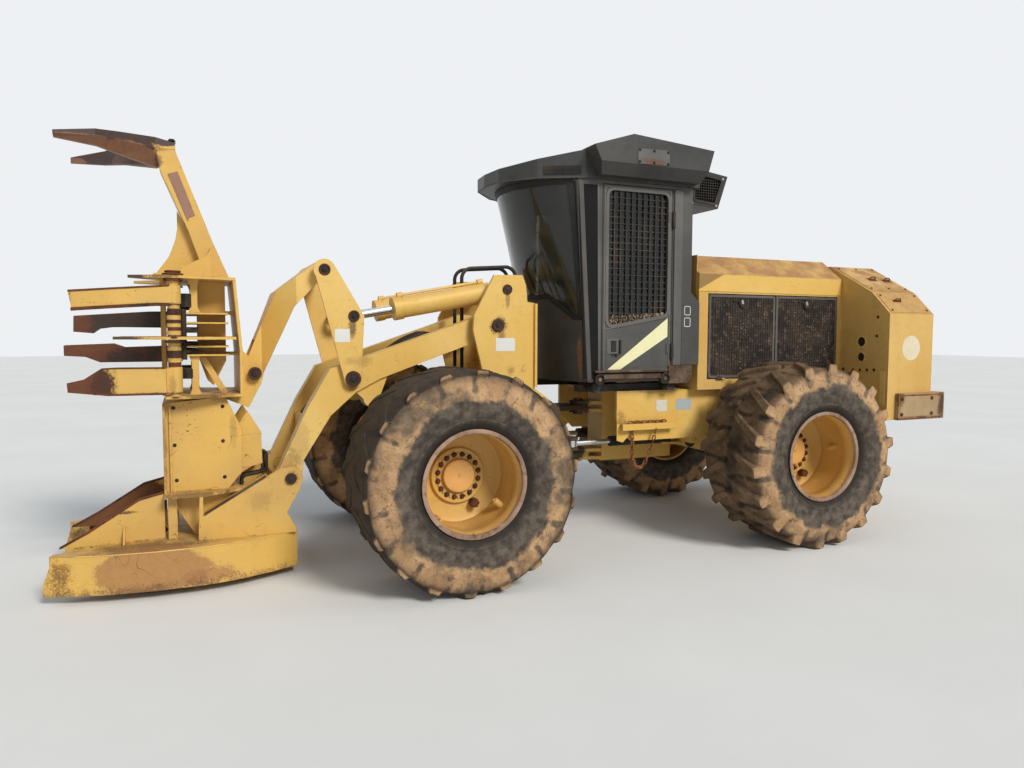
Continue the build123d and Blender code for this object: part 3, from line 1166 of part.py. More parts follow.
nodes = {
    "front_chassis": front_chassis(),
    "tower": tower(),
    "front_axle": axle(0, False),
    "tower_hoses": tower_hoses(),
    "head_hoses": head_hoses(),
    "hanging_chain": hanging_chain(),
    "boom": boom(),
    "levers": levers(),
    "head_link": link(),
    "tilt_barrels": both_sides(tilt_barrels),
    "tilt_rods": both_sides(cylinder_rods(TILT_BASE, TILT_EYE, TILT_BARREL_LEN, TILT_ROD_R, 66,
                                          TILT_ROD_INSIDE)),
    "lift_barrels": both_sides(lift_barrels),
    "lift_rods": both_sides(cylinder_rods(LIFT_BASE, LIFT_EYE, LIFT_BARREL_LEN, LIFT_ROD_R, 66,
                                          LIFT_ROD_INSIDE)),
    "head_body": head_body(),
    "head_cage": head_cage(),
    "mast_fork": mast(),
    "saw_housing": saw_housing(),
    "head_wings": head_wings(),
    "saw_disc": saw_disc(),
    "left_arm": gathering_arm(1, LEFT_FINGERS),
    "right_arm": gathering_arm(-1, RIGHT_FINGERS),
    "rear_chassis": rear_chassis(),
    "rear_axle": axle(-WHEELBASE, True),
    "cab_shell": cab_shell(),
    "windshield": windshield(),
    "cab_guards": cab_guards(),
    "cab_door": cab_door(),
    "door_guard": door_guard(),
    "cab_roof": cab_roof(),
    "roof_box": roof_box(),
    "operator_seat": operator_seat(),
    "cab_controls": cab_controls(),
    "cab_mounts": cab_mounts(),
    "engine_block": engine_block(),
    "hood": hood(),
    "rear_housing": rear_housing(),
    "radiator": radiator(),
    "rear_grille": rear_grille(),
    "rear_bumper": rear_bumper(),
}
for side, label in ((1, "left"), (-1, "right")):
    nodes[f"front_{label}_tyre"] = tyre(side, 0, FRONT_TREAD_DEPTH)
    nodes[f"front_{label}_rim"] = rim(side, 0)
    nodes[f"rear_{label}_tyre"] = tyre(side, -WHEELBASE, REAR_TREAD_DEPTH)
    nodes[f"rear_{label}_rim"] = rim(side, -WHEELBASE)
    nodes[f"{label}_front_screen"] = screen(side, True)
    nodes[f"{label}_rear_screen"] = screen(side, False)
    nodes[f"{label}_steer_barrel"], nodes[f"{label}_steer_rod"] = steer_parts(side)

os.makedirs("parts", exist_ok=True)
for name, shape in nodes.items():
    export_step(Pos(-MID_X, 0, 0) * shape, f"parts/{name}.step")
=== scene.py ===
import math
import random

import bmesh
import bpy
from mathutils import Matrix, Vector, noise


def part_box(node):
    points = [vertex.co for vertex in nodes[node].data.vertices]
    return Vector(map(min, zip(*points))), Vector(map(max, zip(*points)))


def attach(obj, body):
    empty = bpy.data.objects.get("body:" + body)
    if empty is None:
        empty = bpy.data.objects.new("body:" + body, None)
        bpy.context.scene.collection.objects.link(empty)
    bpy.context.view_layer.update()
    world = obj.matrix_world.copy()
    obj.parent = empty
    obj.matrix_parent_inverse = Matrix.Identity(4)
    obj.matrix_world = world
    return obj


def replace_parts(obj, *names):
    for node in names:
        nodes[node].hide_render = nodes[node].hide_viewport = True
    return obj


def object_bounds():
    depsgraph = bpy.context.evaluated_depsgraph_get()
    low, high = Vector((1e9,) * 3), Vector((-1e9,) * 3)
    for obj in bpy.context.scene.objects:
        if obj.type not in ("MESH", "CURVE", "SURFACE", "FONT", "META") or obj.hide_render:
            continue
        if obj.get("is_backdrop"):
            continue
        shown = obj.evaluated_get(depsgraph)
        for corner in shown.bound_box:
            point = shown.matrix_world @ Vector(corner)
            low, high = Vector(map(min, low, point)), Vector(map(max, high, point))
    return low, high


# Looks of a wheeled, articulated feller buncher. Metres. Places are counted from the front
# axle, as x forward, y to the left and z up from the ground, and AXLE_X moves them into the frame.

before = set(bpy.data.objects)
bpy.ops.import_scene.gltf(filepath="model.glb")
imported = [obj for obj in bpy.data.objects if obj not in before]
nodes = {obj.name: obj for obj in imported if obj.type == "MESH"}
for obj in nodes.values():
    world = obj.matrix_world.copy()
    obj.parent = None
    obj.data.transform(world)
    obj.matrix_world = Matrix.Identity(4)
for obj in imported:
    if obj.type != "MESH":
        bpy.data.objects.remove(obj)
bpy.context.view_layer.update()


def middle(node):
    """Centre of a CAD node's box."""
    low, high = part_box(node)
    return (low + high) / 2


AXLE_X = middle("front_left_rim").x
REAR_AXLE = middle("rear_left_rim").x - AXLE_X
WHEEL_Y = middle("front_left_rim").y
WHEEL_Z = middle("front_left_rim").z
TYRE_R = WHEEL_Z


# Materials

def put(tree, socket, value):
    """Feeds a socket from another node's output or with a plain value."""
    if isinstance(value, bpy.types.NodeSocket):
        tree.links.new(value, socket)
    elif isinstance(value, tuple) and len(value) == 3 and socket.type == "RGBA":
        socket.default_value = (*value, 1)
    else:
        socket.default_value = value


def add_node(tree, kind, output, inputs=(), **settings):
    """Adds a node, its inputs given by name or number, and returns one of its outputs."""
    node = tree.nodes.new("ShaderNode" + kind)
    for name, value in settings.items():
        setattr(node, name, value)
    for socket, value in dict(inputs).items():
        put(tree, node.inputs[socket], value)
    return node.outputs[output]


class Shader:
    """A node material, with short calls for the nodes that the finishes use."""

    def __init__(self):
        self.material = bpy.data.materials.new("finish")
        self.material.use_nodes = True
        self.tree = self.material.node_tree
        self.tree.nodes.clear()
        out = self.tree.nodes.new("ShaderNodeOutputMaterial")
        self.bsdf = self.tree.nodes.new("ShaderNodeBsdfPrincipled")
        self.tree.links.new(self.bsdf.outputs[0], out.inputs[0])
        self.at = self.node("TexCoord", "Object")
        self.normal = self.node("TexCoord", "Normal")
        self.noises = {}

    def node(self, kind, output, inputs=(), **settings):
        return add_node(self.tree, kind, output, inputs, **settings)

    def set(self, **values):
        for name, value in values.items():
            put(self.tree, self.bsdf.inputs[name.replace("_", " ")], value)

    def stretch(self, scale):
        return self.node("Mapping", 0, {"Vector": self.at, "Scale": scale})

    def uv(self, layer, axis):
        return self.part(self.node("UVMap", 0, uv_map=layer), axis)

    def noise(self, scale, detail=4.0, rough=0.6, vector=None, distortion=0.0):
        return self.node("TexNoise", "Fac", {"Vector": vector or self.at, "Scale": scale, "Detail": detail,
                                             "Roughness": rough, "Distortion": distortion})

    def cells(self, scale):
        return self.node("TexVoronoi", "Distance", {"Vector": self.at, "Scale": scale})

    def range(self, value, low, high, start=0.0, end=1.0):
        inputs = dict(enumerate((value, low, high, start, end)))
        return self.node("MapRange", 0, inputs, interpolation_type="SMOOTHSTEP")

    def math(self, kind, a, b=0.0):
        return self.node("Math", 0, {0: a, 1: b}, operation=kind)

    def times(self, *factors):
        result = factors[0]
        for factor in factors[1:]:
            result = self.math("MULTIPLY", result, factor)
        return result

    def mix(self, share, a, b):
        return self.node("Mix", 2, {0: share, 6: a, 7: b}, data_type="RGBA")

    def part(self, vector, axis):
        return self.node("SeparateXYZ", axis, {0: vector})

    def edges(self, radius):
        """1 at convex and concave edges, fading to 0 away from them."""
        turned = self.node("Bevel", 0, {"Radius": radius}, samples=4)
        here = self.node("NewGeometry", "Normal")
        dot = self.node("VectorMath", "Value", {0: turned, 1: here}, operation="DOT_PRODUCT")
        return self.range(dot, 0.98, 0.75)

    def shared(self, scale, detail):
        """A noise that several stains use."""
        if (scale, detail) not in self.noises:
            self.noises[(scale, detail)] = self.noise(scale, detail)
        return self.noises[(scale, detail)]

    def wander(self, scale, detail, reach):
        """A shared noise about zero."""
        return self.times(self.math("SUBTRACT", self.shared(scale, detail), 0.5), reach)

    def near(self, centre, size, crisp=False):
        """1 inside an ellipsoid at a machine place, with a ragged border, soft or crisp."""
        centre = (centre[0] + AXLE_X, centre[1], centre[2])
        moved = self.node("VectorMath", 0, {0: self.at, 1: centre}, operation="SUBTRACT")
        inside = self.node("VectorMath", 0, {0: moved, 1: size}, operation="DIVIDE")
        distance = self.node("VectorMath", "Value", {0: inside}, operation="LENGTH")
        distance = self.math("SUBTRACT", distance, self.wander(9, 8, 0.45 if crisp else 1.4))
        distance = self.math("SUBTRACT", distance, self.wander(75, 6, 0.25 if crisp else 1.5))
        return self.range(distance, 1.04, 0.90) if crisp else self.range(distance, 1.12, 0.48)

    def stains(self, colour, zones):
        """Lays (tone, share, centre, size) stains over a colour."""
        for tone, share, centre, size, *crisp in zones:
            shade = self.mix(self.shared(28, 6), tone, scaled(tone, 0.5))
            colour = self.mix(self.times(self.near(centre, size, bool(crisp)), share), colour, shade)
        return colour

    def scratches(self, scale, width=0.004):
        """Thin wandering lines."""
        wave = self.math("SUBTRACT", self.noise(scale, 1.5, 0.4, distortion=1.2), 0.5)
        return self.range(self.math("ABSOLUTE", wave), width, 0.0)

    def bump(self, height, strength, distance=0.002):
        inputs = {"Strength": strength, "Distance": distance, "Height": height}
        self.set(Normal=self.node("Bump", 0, inputs))


def scaled(colour, share):
    return tuple(share * c for c in colour)


RUST = (0.17, 0.055, 0.022)
RUST_PALE = (0.36, 0.155, 0.06)
RUST_DARK = (0.05, 0.022, 0.014)
MUD = (0.38, 0.225, 0.115)
MUD_PALE = (0.54, 0.345, 0.185)
GREASE = (0.016, 0.013, 0.011)


def paint(base, faded, wear=1.0, rust=1.0, dust=1.0, dust_colour=RUST_PALE, roughness=0.48, zones=(),
          scratched=0.0):
    """Aged machine paint: faded patches, streaks, chipped edges, rust specks, dusty tops and stains."""
    s = Shader()
    colour = s.mix(s.range(s.noise(1.1, 5), 0.35, 0.7), base, faded)
    colour = s.mix(s.times(s.range(s.noise(16, 6), 0.5, 0.8), 0.35), colour, scaled(base, 0.72))
    streak = s.range(s.noise(1.0, 5, vector=s.stretch((9, 9, 0.7))), 0.52, 0.78)
    streaky = tuple(0.55 * c + 0.45 * d for c, d in zip(base, dust_colour))
    colour = s.mix(s.times(streak, 0.35 * dust), colour, streaky)
    top = s.range(s.part(s.normal, 2), 0.35, 0.9)
    settled = s.times(top, s.range(s.noise(5, 6), 0.25, 0.7), 0.8 * dust)
    colour = s.mix(settled, colour, dust_colour)
    colour = s.stains(colour, zones)
    if scratched:
        lines = s.times(s.scratches(3.1), s.range(s.noise(2.7, 3), 0.5, 0.62), scratched)
        colour = s.mix(lines, colour, RUST_DARK)
    patch = s.range(s.noise(2.3, 6), 0.5, 0.72)
    specks = s.times(s.range(s.noise(46, 3), 0.62, 0.7), patch)
    chips = s.times(s.edges(0.006), s.range(s.noise(14, 5), 0.42, 0.62))
    bare = s.math("MINIMUM", s.math("ADD", s.times(specks, 0.8 * rust), s.times(chips, wear)), 1.0)
    colour = s.mix(bare, colour, s.mix(s.noise(30, 3), RUST, RUST_DARK))
    rough = s.range(s.math("ADD", bare, s.times(settled, 0.7)), 0, 1, roughness, 0.88)
    s.set(Base_Color=colour, Roughness=rough, Specular_IOR_Level=0.35)
    s.bump(s.math("ADD", s.times(s.noise(70, 4), 0.25), s.math("SUBTRACT", 1.0, bare)), 0.25)
    return s.material


def rusty(base, pale, dark, share=0.5, roughness=0.8, zones=()):
    """Rusted or dirty bare steel."""
    s = Shader()
    colour = s.mix(s.range(s.noise(6, 8), 0.35, 0.65), base, pale)
    colour = s.mix(s.range(s.noise(22, 8), 0.5, 0.75), colour, dark)
    colour = s.stains(colour, zones)
    colour = s.mix(s.times(s.edges(0.004), share), colour, pale)
    s.set(Base_Color=colour, Roughness=roughness, Metallic=0.1, Specular_IOR_Level=0.2)
    s.bump(s.noise(90, 6), 0.5, 0.002)
    return s.material


def bright_steel(tint=(0.62, 0.62, 0.60), roughness=0.22, zones=()):
    """Chromed or worn bright steel with a little grime."""
    s = Shader()
    grime = s.range(s.noise(9, 6), 0.55, 0.8)
    for _, share, centre, size in zones:
        grime = s.math("MAXIMUM", grime, s.times(s.near(centre, size), share))
    colour = s.mix(s.times(grime, 0.7), tint, RUST)
    s.set(Base_Color=colour, Roughness=s.range(grime, 0, 1, roughness, 0.6), Metallic=0.9)
    s.bump(s.noise(60, 3), 0.08)
    return s.material


def dark_plain(base, dust, share=0.5, roughness=0.6, fine=60):
    """Dark rubber, plastic or greasy steel with settled dust."""
    s = Shader()
    colour = s.mix(s.times(s.range(s.noise(5, 7), 0.4, 0.75), share), base, dust)
    colour = s.mix(s.times(s.range(s.part(s.normal, 2), 0.3, 1.0), share), colour, dust)
    s.set(Base_Color=colour, Roughness=roughness, Specular_IOR_Level=0.2)
    s.bump(s.noise(fine, 5), 0.25, 0.0015)
    return s.material


def rubber(mud_from, mud_share, tread_mud):
    """Tyre rubber: dark bead area, tan mud on the shoulders, and darker worn rubber on the tread."""
    s = Shader()
    radius = s.uv("across", 1)
    tread = s.range(s.uv("across", 0), 0.350, 0.318)
    drift = s.math("ADD", s.uv("around", 0), s.times(s.noise(6, 5), 0.5))
    off_middle = s.math("ABSOLUTE", s.math("SUBTRACT", s.math("FRACT", drift), 0.5))
    groove = s.times(s.range(off_middle, 0.15, 0.02), s.range(radius, 0.585, 0.63))
    groove = s.times(groove, s.range(s.noise(8, 6), 0.32, 0.55))
    depth = s.math("ADD", radius, s.times(s.math("SUBTRACT", s.noise(7, 6), 0.5), 0.22))
    low = s.math("SUBTRACT", radius, s.times(s.math("SUBTRACT", 0.5, s.noise(7, 6)), 0.22))
    muddy = s.times(s.range(low, mud_from, mud_from + 0.045), s.range(s.noise(11, 7), 0.28, 0.52, 0.55, 1.0))
    worn = s.range(s.noise(3.1, 7), 0.50, 0.66, 1.0, 0.22)
    muddy = s.times(muddy, worn, mud_share)
    bare_tread = s.times(tread, s.range(s.noise(4.2, 7), 0.28, 0.66, 1.0, 1 - 1.2 * tread_mud))
    muddy = s.times(muddy, s.range(bare_tread, 0.0, 1.0, 1.0, tread_mud))
    muddy = s.times(muddy, s.range(groove, 0.0, 1.0, 1.0, 0.15))
    base = s.mix(s.range(s.noise(18, 8), 0.3, 0.75), (0.045, 0.038, 0.032), (0.15, 0.118, 0.090))
    base = s.mix(tread, base, s.mix(s.noise(18, 8), (0.012, 0.011, 0.010), (0.050, 0.040, 0.031)))
    clay = s.mix(s.range(s.noise(8, 7), 0.3, 0.7), MUD, MUD_PALE)
    clay = s.mix(s.range(s.noise(40, 5), 0.5, 0.8), clay, (0.19, 0.11, 0.06))
    cracks = s.times(s.scratches(7, 0.016), s.range(s.noise(5, 4), 0.42, 0.6), 0.6)
    clay = s.mix(cracks, clay, (0.045, 0.033, 0.025))
    colour = s.mix(muddy, base, clay)
    s.set(Base_Color=colour, Roughness=s.range(muddy, 0, 1, 0.72, 0.95), Specular_IOR_Level=0.15)
    grain = s.math("ADD", s.times(s.noise(34, 8), 0.5), s.times(muddy, s.noise(90, 5)))
    grain = s.math("SUBTRACT", grain, s.times(groove, 1.5))
    s.bump(s.math("ADD", grain, s.times(depth, 0.01)), 0.6, 0.006)
    return s.material


def glass(tint, roughness=0.08):
    """Dark tinted glass with a dusty film."""
    s = Shader()
    film = s.range(s.noise(2.4, 6), 0.4, 0.8)
    s.set(Base_Color=s.mix(s.times(film, 0.5), tint, scaled(tint, 1.5)), IOR=1.45, Transmission_Weight=0.9)
    s.set(Roughness=s.range(film, 0, 1, roughness, 0.2))
    return s.material


def cloth(base, soiled):
    """Worn woven seat cover."""
    s = Shader()
    colour = s.mix(s.range(s.noise(9, 7), 0.4, 0.65), base, soiled)
    weave = s.cells(260)
    s.set(Base_Color=s.mix(s.times(weave, 0.4), colour, soiled), Roughness=0.95, Sheen_Weight=0.3)
    s.bump(s.math("ADD", s.times(weave, 0.5), s.noise(22, 6)), 0.6, 0.004)
    return s.material


YELLOW = (0.72, 0.44, 0.10)
YELLOW_FADED = (0.78, 0.53, 0.17)
EARTH = (0.20, 0.105, 0.05)
OIL = (0.030, 0.020, 0.014)
BURNT = (0.050, 0.030, 0.022)
SCRAPED = (0.44, 0.20, 0.085)
PRONG = (0.085, 0.050, 0.042)
PRONG_EDGE = (0.30, 0.145, 0.085)

# Stains as (tone, share, centre, half size), and a last word where the border is crisp
MACHINE_STAINS = [
    (GREASE, 0.95, (-0.547, 0.47, 1.831), (0.075, 0.03, 0.075)),
    (GREASE, 0.9, (-0.547, -0.47, 1.831), (0.07, 0.03, 0.07)),
    (OIL, 0.55, (-0.58, 0.47, 1.74), (0.035, 0.03, 0.08)),
    (OIL, 0.5, (-0.630, 0.47, 2.04), (0.022, 0.03, 0.07)),
    (RUST, 0.45, (-0.66, 0.47, 1.47), (0.035, 0.03, 0.05)),
    (BURNT, 0.95, (-1.27, 0.0, 0.98), (0.34, 1.6, 0.50), "crisp"),
    (OIL, 0.55, (-0.9, 0.0, 0.80), (0.4, 0.42, 0.2)), (RUST, 0.6, (-1.64, 0.53, 0.96), (0.08, 0.06, 0.16)),
    (RUST_PALE, 0.45, (-2.02, 0.55, 1.275), (0.35, 0.05, 0.02)),
    (OIL, 0.35, (1.065, 0.40, 0.83), (0.10, 0.10, 0.10)),
    (GREASE, 0.5, (0.60, 0.40, 1.37), (0.04, 0.08, 0.05)),
    (RUST_PALE, 0.35, (0.55, 0.40, 1.55), (0.12, 0.10, 0.05)),
    (EARTH, 0.25, (1.0, 0.38, 0.95), (0.10, 0.06, 0.20)), (OIL, 0.7, (0.60, 0.42, 1.80), (0.03, 0.02, 0.09)),
]
HEAD_STAINS = [
    (PRONG, 1.0, (2.56, 0.0, 3.11), (0.72, 1.3, 0.26), "crisp"),
    (PRONG, 1.0, (1.93, 0.0, 3.13), (0.17, 1.0, 0.045), "crisp"),
    (PRONG, 1.0, (1.86, 0.0, 3.145), (0.14, 0.5, 0.075), "crisp"),
    (PRONG_EDGE, 1.0, (2.06, 0.1, 2.97), (0.19, 0.6, 0.10), "crisp"),
    (PRONG_EDGE, 1.0, (2.26, 0.35, 2.955), (0.40, 0.36, 0.090), "crisp"),
    (PRONG, 0.8, (2.05, -0.15, 2.99), (0.2, 0.15, 0.09)),
    (PRONG_EDGE, 0.9, (2.46, -0.42, 3.005), (0.13, 0.10, 0.035), "crisp"),
    (RUST_PALE, 0.45, (2.26, 0.35, 2.96), (0.40, 0.36, 0.05)),
    (BURNT, 0.95, (1.83, -0.42, 1.72), (0.12, 0.14, 0.42), "crisp"),
    (BURNT, 0.9, (2.08, 0.35, 2.14), (0.16, 0.3, 0.03)), (BURNT, 0.9, (2.12, 0.35, 1.722), (0.14, 0.3, 0.02)),
    (RUST_PALE, 0.6, (1.50, 0.30, 1.32), (0.10, 0.2, 0.06)),
    (OIL, 0.7, (1.66, 0.42, 1.32), (0.18, 0.08, 0.02)),
    (RUST_DARK, 0.65, (1.86, 0.42, 2.145), (0.14, 0.16, 0.018)),
    (OIL, 0.25, (1.44, 0.30, 1.08), (0.03, 0.1, 0.14)),
    (GREASE, 0.6, (1.287, 0.20, 1.459), (0.05, 0.08, 0.05)),
    (RUST, 0.5, (1.895, 0.34, 0.95), (0.02, 0.04, 0.34)), (EARTH, 0.8, (1.70, 0.45, 0.64), (0.30, 0.2, 0.02)),
    (EARTH, 0.85, (2.02, 0.48, 0.325), (0.44, 0.20, 0.012)),
    (SCRAPED, 0.72, (1.97, 0.62, 0.20), (0.36, 0.20, 0.17), "crisp"),
    (SCRAPED, 0.7, (1.99, -0.62, 0.20), (0.34, 0.20, 0.15), "crisp"),
    (SCRAPED, 0.7, (1.62, 0.62, 0.12), (0.24, 0.08, 0.06)), (EARTH, 0.8, (1.90, 0.0, 0.06), (1.2, 0.9, 0.07)),
    (RUST, 0.75, (2.52, 0.0, 0.20), (0.10, 0.9, 0.13)),
    (RUST, 0.95, (2.30, -0.31, 0.50), (0.46, 0.10, 0.24), "crisp"),
    (RUST_DARK, 0.8, (2.22, 0.31, 0.53), (0.20, 0.03, 0.012)),
    (RUST, 0.22, (1.28, 0.45, 0.56), (0.10, 0.04, 0.08)),
    (OIL, 0.6, (1.065, 0.47, 0.715), (0.06, 0.02, 0.06)),
    (RUST_DARK, 0.7, (1.85, 0.0, 0.40), (0.10, 0.34, 0.10)),
]
LEFT_STAINS = [
    (OIL, 0.55, (1.812, 0.40, 1.64), (0.055, 0.065, 0.10)),
    (RUST_DARK, 0.9, (2.45, 0.40, 1.97), (0.045, 0.1, 0.12)),
    (RUST, 1.0, (2.44, 0.45, 1.43), (0.27, 0.20, 0.19), "crisp"),
    (RUST_DARK, 0.75, (2.24, 0.45, 1.44), (0.085, 0.2, 0.16)),
    (RUST_DARK, 0.6, (2.0, 0.38, 1.955), (0.5, 0.1, 0.012)),
    (RUST_DARK, 0.7, (2.05, 0.45, 1.352), (0.35, 0.1, 0.014)),
    (RUST, 0.5, (1.90, 0.44, 1.53), (0.10, 0.09, 0.02)), (OIL, 0.25, (1.83, 0.45, 1.40), (0.025, 0.08, 0.07)),
]
RIGHT_STAINS = [
    (OIL, 0.9, (1.812, -0.40, 1.74), (0.09, 0.08, 0.46)),
    (BURNT, 1.0, (2.16, -0.42, 1.86), (0.60, 0.4, 0.20), "crisp"),
    (RUST, 0.8, (2.46, -0.42, 1.82), (0.09, 0.3, 0.12)),
    (RUST, 1.0, (2.25, -0.42, 1.60), (0.60, 0.4, 0.16), "crisp"),
    (BURNT, 0.9, (2.16, -0.42, 1.57), (0.20, 0.3, 0.07)), (BURNT, 0.9, (1.93, -0.42, 1.60), (0.12, 0.1, 0.1)),
]
CAB_STAINS = [
    (RUST_PALE, 0.95, (-1.232, 0.590, 1.61), (0.04, 0.026, 0.26)),
    (RUST, 0.8, (-1.20, 0.50, 1.885), (0.10, 0.16, 0.018)),
    (RUST, 0.5, (-2.16, 0.68, 1.42), (0.12, 0.05, 0.06)),
    (EARTH, 0.5, (-1.70, 0.68, 1.38), (0.45, 0.04, 0.03)),
    (RUST_PALE, 0.4, (-1.195, -0.66, 2.3), (0.03, 0.03, 0.5)),
    (RUST, 0.7, (-1.73, 0.85, 3.135), (0.14, 0.03, 0.03)),
]
MATERIALS = {
    "yellow": paint(YELLOW, YELLOW_FADED, dust=0.5, dust_colour=(0.42, 0.25, 0.10),
                    zones=MACHINE_STAINS, scratched=0.35),
    "yellow_top": paint((0.60, 0.355, 0.09), (0.68, 0.44, 0.14), dust=1.5,
                        dust_colour=(0.37, 0.195, 0.08)),
    # Darkened base: painted shade of the hood's forward-facing corner facet, with the same settled dust as the
    # top
    "shaded_facet": paint((0.30, 0.175, 0.055), (0.37, 0.24, 0.09), dust=1.0, dust_colour=(0.22, 0.12, 0.055)),
    "strip": paint((0.30, 0.165, 0.115), (0.36, 0.21, 0.15), wear=1.2, rust=2.5, dust=0.3,
                   roughness=0.7),
    "side_glass": glass((0.055, 0.058, 0.050)),
    "gloss": dark_plain((0.004, 0.004, 0.004), (0.020, 0.018, 0.016), 0.15, 0.75, 30),
    "yellow_part": paint(YELLOW, YELLOW_FADED, wear=1.2, rust=1.3, dust=0.6,
                         dust_colour=(0.38, 0.22, 0.09)),
    "head": paint(YELLOW, (0.60, 0.37, 0.11), wear=1.4, rust=1.8, dust=0.7,
                  dust_colour=(0.40, 0.22, 0.09), zones=HEAD_STAINS, scratched=0.8),
    "left_arm": paint(YELLOW, (0.60, 0.37, 0.11), wear=1.4, rust=2.0, dust=0.8,
                      zones=LEFT_STAINS, scratched=0.8),
    "right_arm": paint(YELLOW, (0.60, 0.37, 0.11), wear=1.4, rust=2.2, dust=1.0,
                       zones=RIGHT_STAINS, scratched=0.8),
    "wheel": paint((0.62, 0.36, 0.08), (0.66, 0.42, 0.13), wear=1.5, rust=1.8, dust=0.7),
    "hub_cap": paint((0.70, 0.36, 0.10), (0.78, 0.43, 0.14), wear=1.2, rust=2.0, dust=0.6),
    "grey": paint((0.052, 0.051, 0.047), (0.098, 0.095, 0.086), wear=1.2, rust=0.6, dust=0.5,
                  dust_colour=(0.20, 0.16, 0.12), roughness=0.5, zones=CAB_STAINS, scratched=0.25),
    "grey_light": paint((0.080, 0.078, 0.073), (0.135, 0.130, 0.12), wear=1.0, rust=0.7, dust=0.4,
                        dust_colour=(0.22, 0.17, 0.13), roughness=0.55, zones=CAB_STAINS),
    "roof": paint((0.026, 0.026, 0.027), (0.060, 0.058, 0.054), wear=1.2, rust=0.8, dust=0.9,
                  dust_colour=(0.16, 0.12, 0.09), roughness=0.42, zones=CAB_STAINS, scratched=0.3),
    "pillar": paint((0.060, 0.056, 0.052), (0.105, 0.095, 0.085), wear=1.6, rust=2.6, dust=0.5,
                    roughness=0.6),
    "rust": rusty(RUST, RUST_PALE, RUST_DARK),
    "lip": rusty((0.27, 0.165, 0.11), (0.42, 0.28, 0.20), (0.10, 0.055, 0.035), 0.5),
    "rust_dark": rusty((0.060, 0.032, 0.022), RUST, (0.022, 0.016, 0.014), 0.8),
    "brown": rusty((0.080, 0.050, 0.034), (0.17, 0.115, 0.075), (0.035, 0.023, 0.017), 0.4, 0.95),
    "debris": rusty((0.22, 0.12, 0.06), (0.50, 0.38, 0.26), (0.07, 0.04, 0.025), 0.2, 0.95),
    "black": dark_plain((0.022, 0.020, 0.019), (0.12, 0.075, 0.045), 0.45),
    "seal": dark_plain((0.018, 0.018, 0.018), (0.08, 0.07, 0.06), 0.3, 0.55, 120),
    "hose": dark_plain((0.022, 0.022, 0.022), (0.15, 0.11, 0.07), 0.35, 0.55, 140),
    "mesh": dark_plain((0.035, 0.033, 0.031), (0.17, 0.11, 0.065), 0.5, 0.6),
    "screen": rusty((0.030, 0.026, 0.024), (0.085, 0.062, 0.048), (0.30, 0.20, 0.14), 0.3, 0.9),
    "chrome": bright_steel(zones=[
        (RUST, 1.0, (x, y, z), (0.09, 0.08, 0.09))
        for x, z in ((0.59, 1.89), (0.45, 1.266)) for y in (0.30, -0.30)]),
    "bare": bright_steel((0.46, 0.42, 0.38), 0.42),
    "tyre_front": rubber(0.540, 1.0, 0.05),
    "tyre_rear": rubber(0.560, 1.0, 0.28),
    "glass": glass((0.15, 0.16, 0.14)),
    "cloth": cloth((0.80, 0.76, 0.66), (0.40, 0.34, 0.27)),
    "plastic": dark_plain((0.045, 0.045, 0.045), (0.16, 0.13, 0.10), 0.4, 0.55),
    "core": dark_plain((0.09, 0.085, 0.08), (0.20, 0.13, 0.08), 0.6, 0.6, 220),
    "engine": dark_plain((0.06, 0.055, 0.045), (0.13, 0.085, 0.05), 0.6, 0.6),
    "label": paint((0.70, 0.70, 0.66), (0.78, 0.78, 0.74), wear=0.2, rust=0.4, dust=0.3),
    "label_blue": paint((0.36, 0.42, 0.45), (0.46, 0.50, 0.52), wear=0.2, rust=0.5, dust=0.3),
    "label_worn": paint((0.66, 0.62, 0.52), (0.74, 0.70, 0.60), wear=0.4, rust=3.5, dust=0.8),
    "disc": paint((0.72, 0.68, 0.56), (0.70, 0.55, 0.30), wear=0.6, rust=1.5, dust=0.4),
    "bumper": paint((0.34, 0.225, 0.11), (0.50, 0.39, 0.22), wear=2.0, rust=3.5, dust=1.0,
                    zones=[(RUST_DARK, 0.9, (-4.64, 1.24, 1.12), (0.05, 0.05, 0.14)),
                           (RUST, 0.8, (-4.12, 1.24, 1.2), (0.06, 0.05, 0.10)),
                           (RUST_DARK, 0.8, (-4.35, 1.24, 1.005), (0.4, 0.05, 0.03))]),
    "stripe": paint((0.80, 0.76, 0.42), (0.84, 0.80, 0.50), wear=0.3, rust=0.4, dust=0.2),
}
for key, material in MATERIALS.items():
    material.name = key

NODE_FINISH = {
    "grey": ["cab_shell", "cab_door"],
    "roof": ["cab_roof", "roof_box"],
    "glass": ["windshield"],
    "mesh": ["cab_guards", "door_guard", "cab_mounts"],
    "plastic": ["cab_controls"],
    "cloth": ["operator_seat"],
    "yellow_top": ["hood", "rear_housing", "rear_grille"],
    "bumper": ["rear_bumper"],
    "rust": ["hanging_chain"],
    "hose": ["tower_hoses", "head_hoses"],
    "core": ["radiator"],
    "engine": ["engine_block"],
    "head": ["head_body", "head_cage", "mast_fork", "saw_housing", "head_wings"],
    "left_arm": ["left_arm"],
    "right_arm": ["right_arm"],
    "rust_dark": ["saw_disc"],
    "chrome": ["tilt_rods", "lift_rods", "left_steer_rod", "right_steer_rod"],
    "black": ["front_axle", "rear_axle", "left_steer_barrel", "right_steer_barrel"],
}
finish_of = {node: kind for kind, members in NODE_FINISH.items() for node in members}
for name, node in nodes.items():
    kind = finish_of.get(name, "yellow")
    if name.endswith("_tyre"):
        kind = "tyre_front" if name.startswith("front") else "tyre_rear"
    if name.endswith("_screen"):
        kind = "screen"
    node.data.materials.clear()
    node.data.materials.append(MATERIALS[kind])


# Camera, floor and light

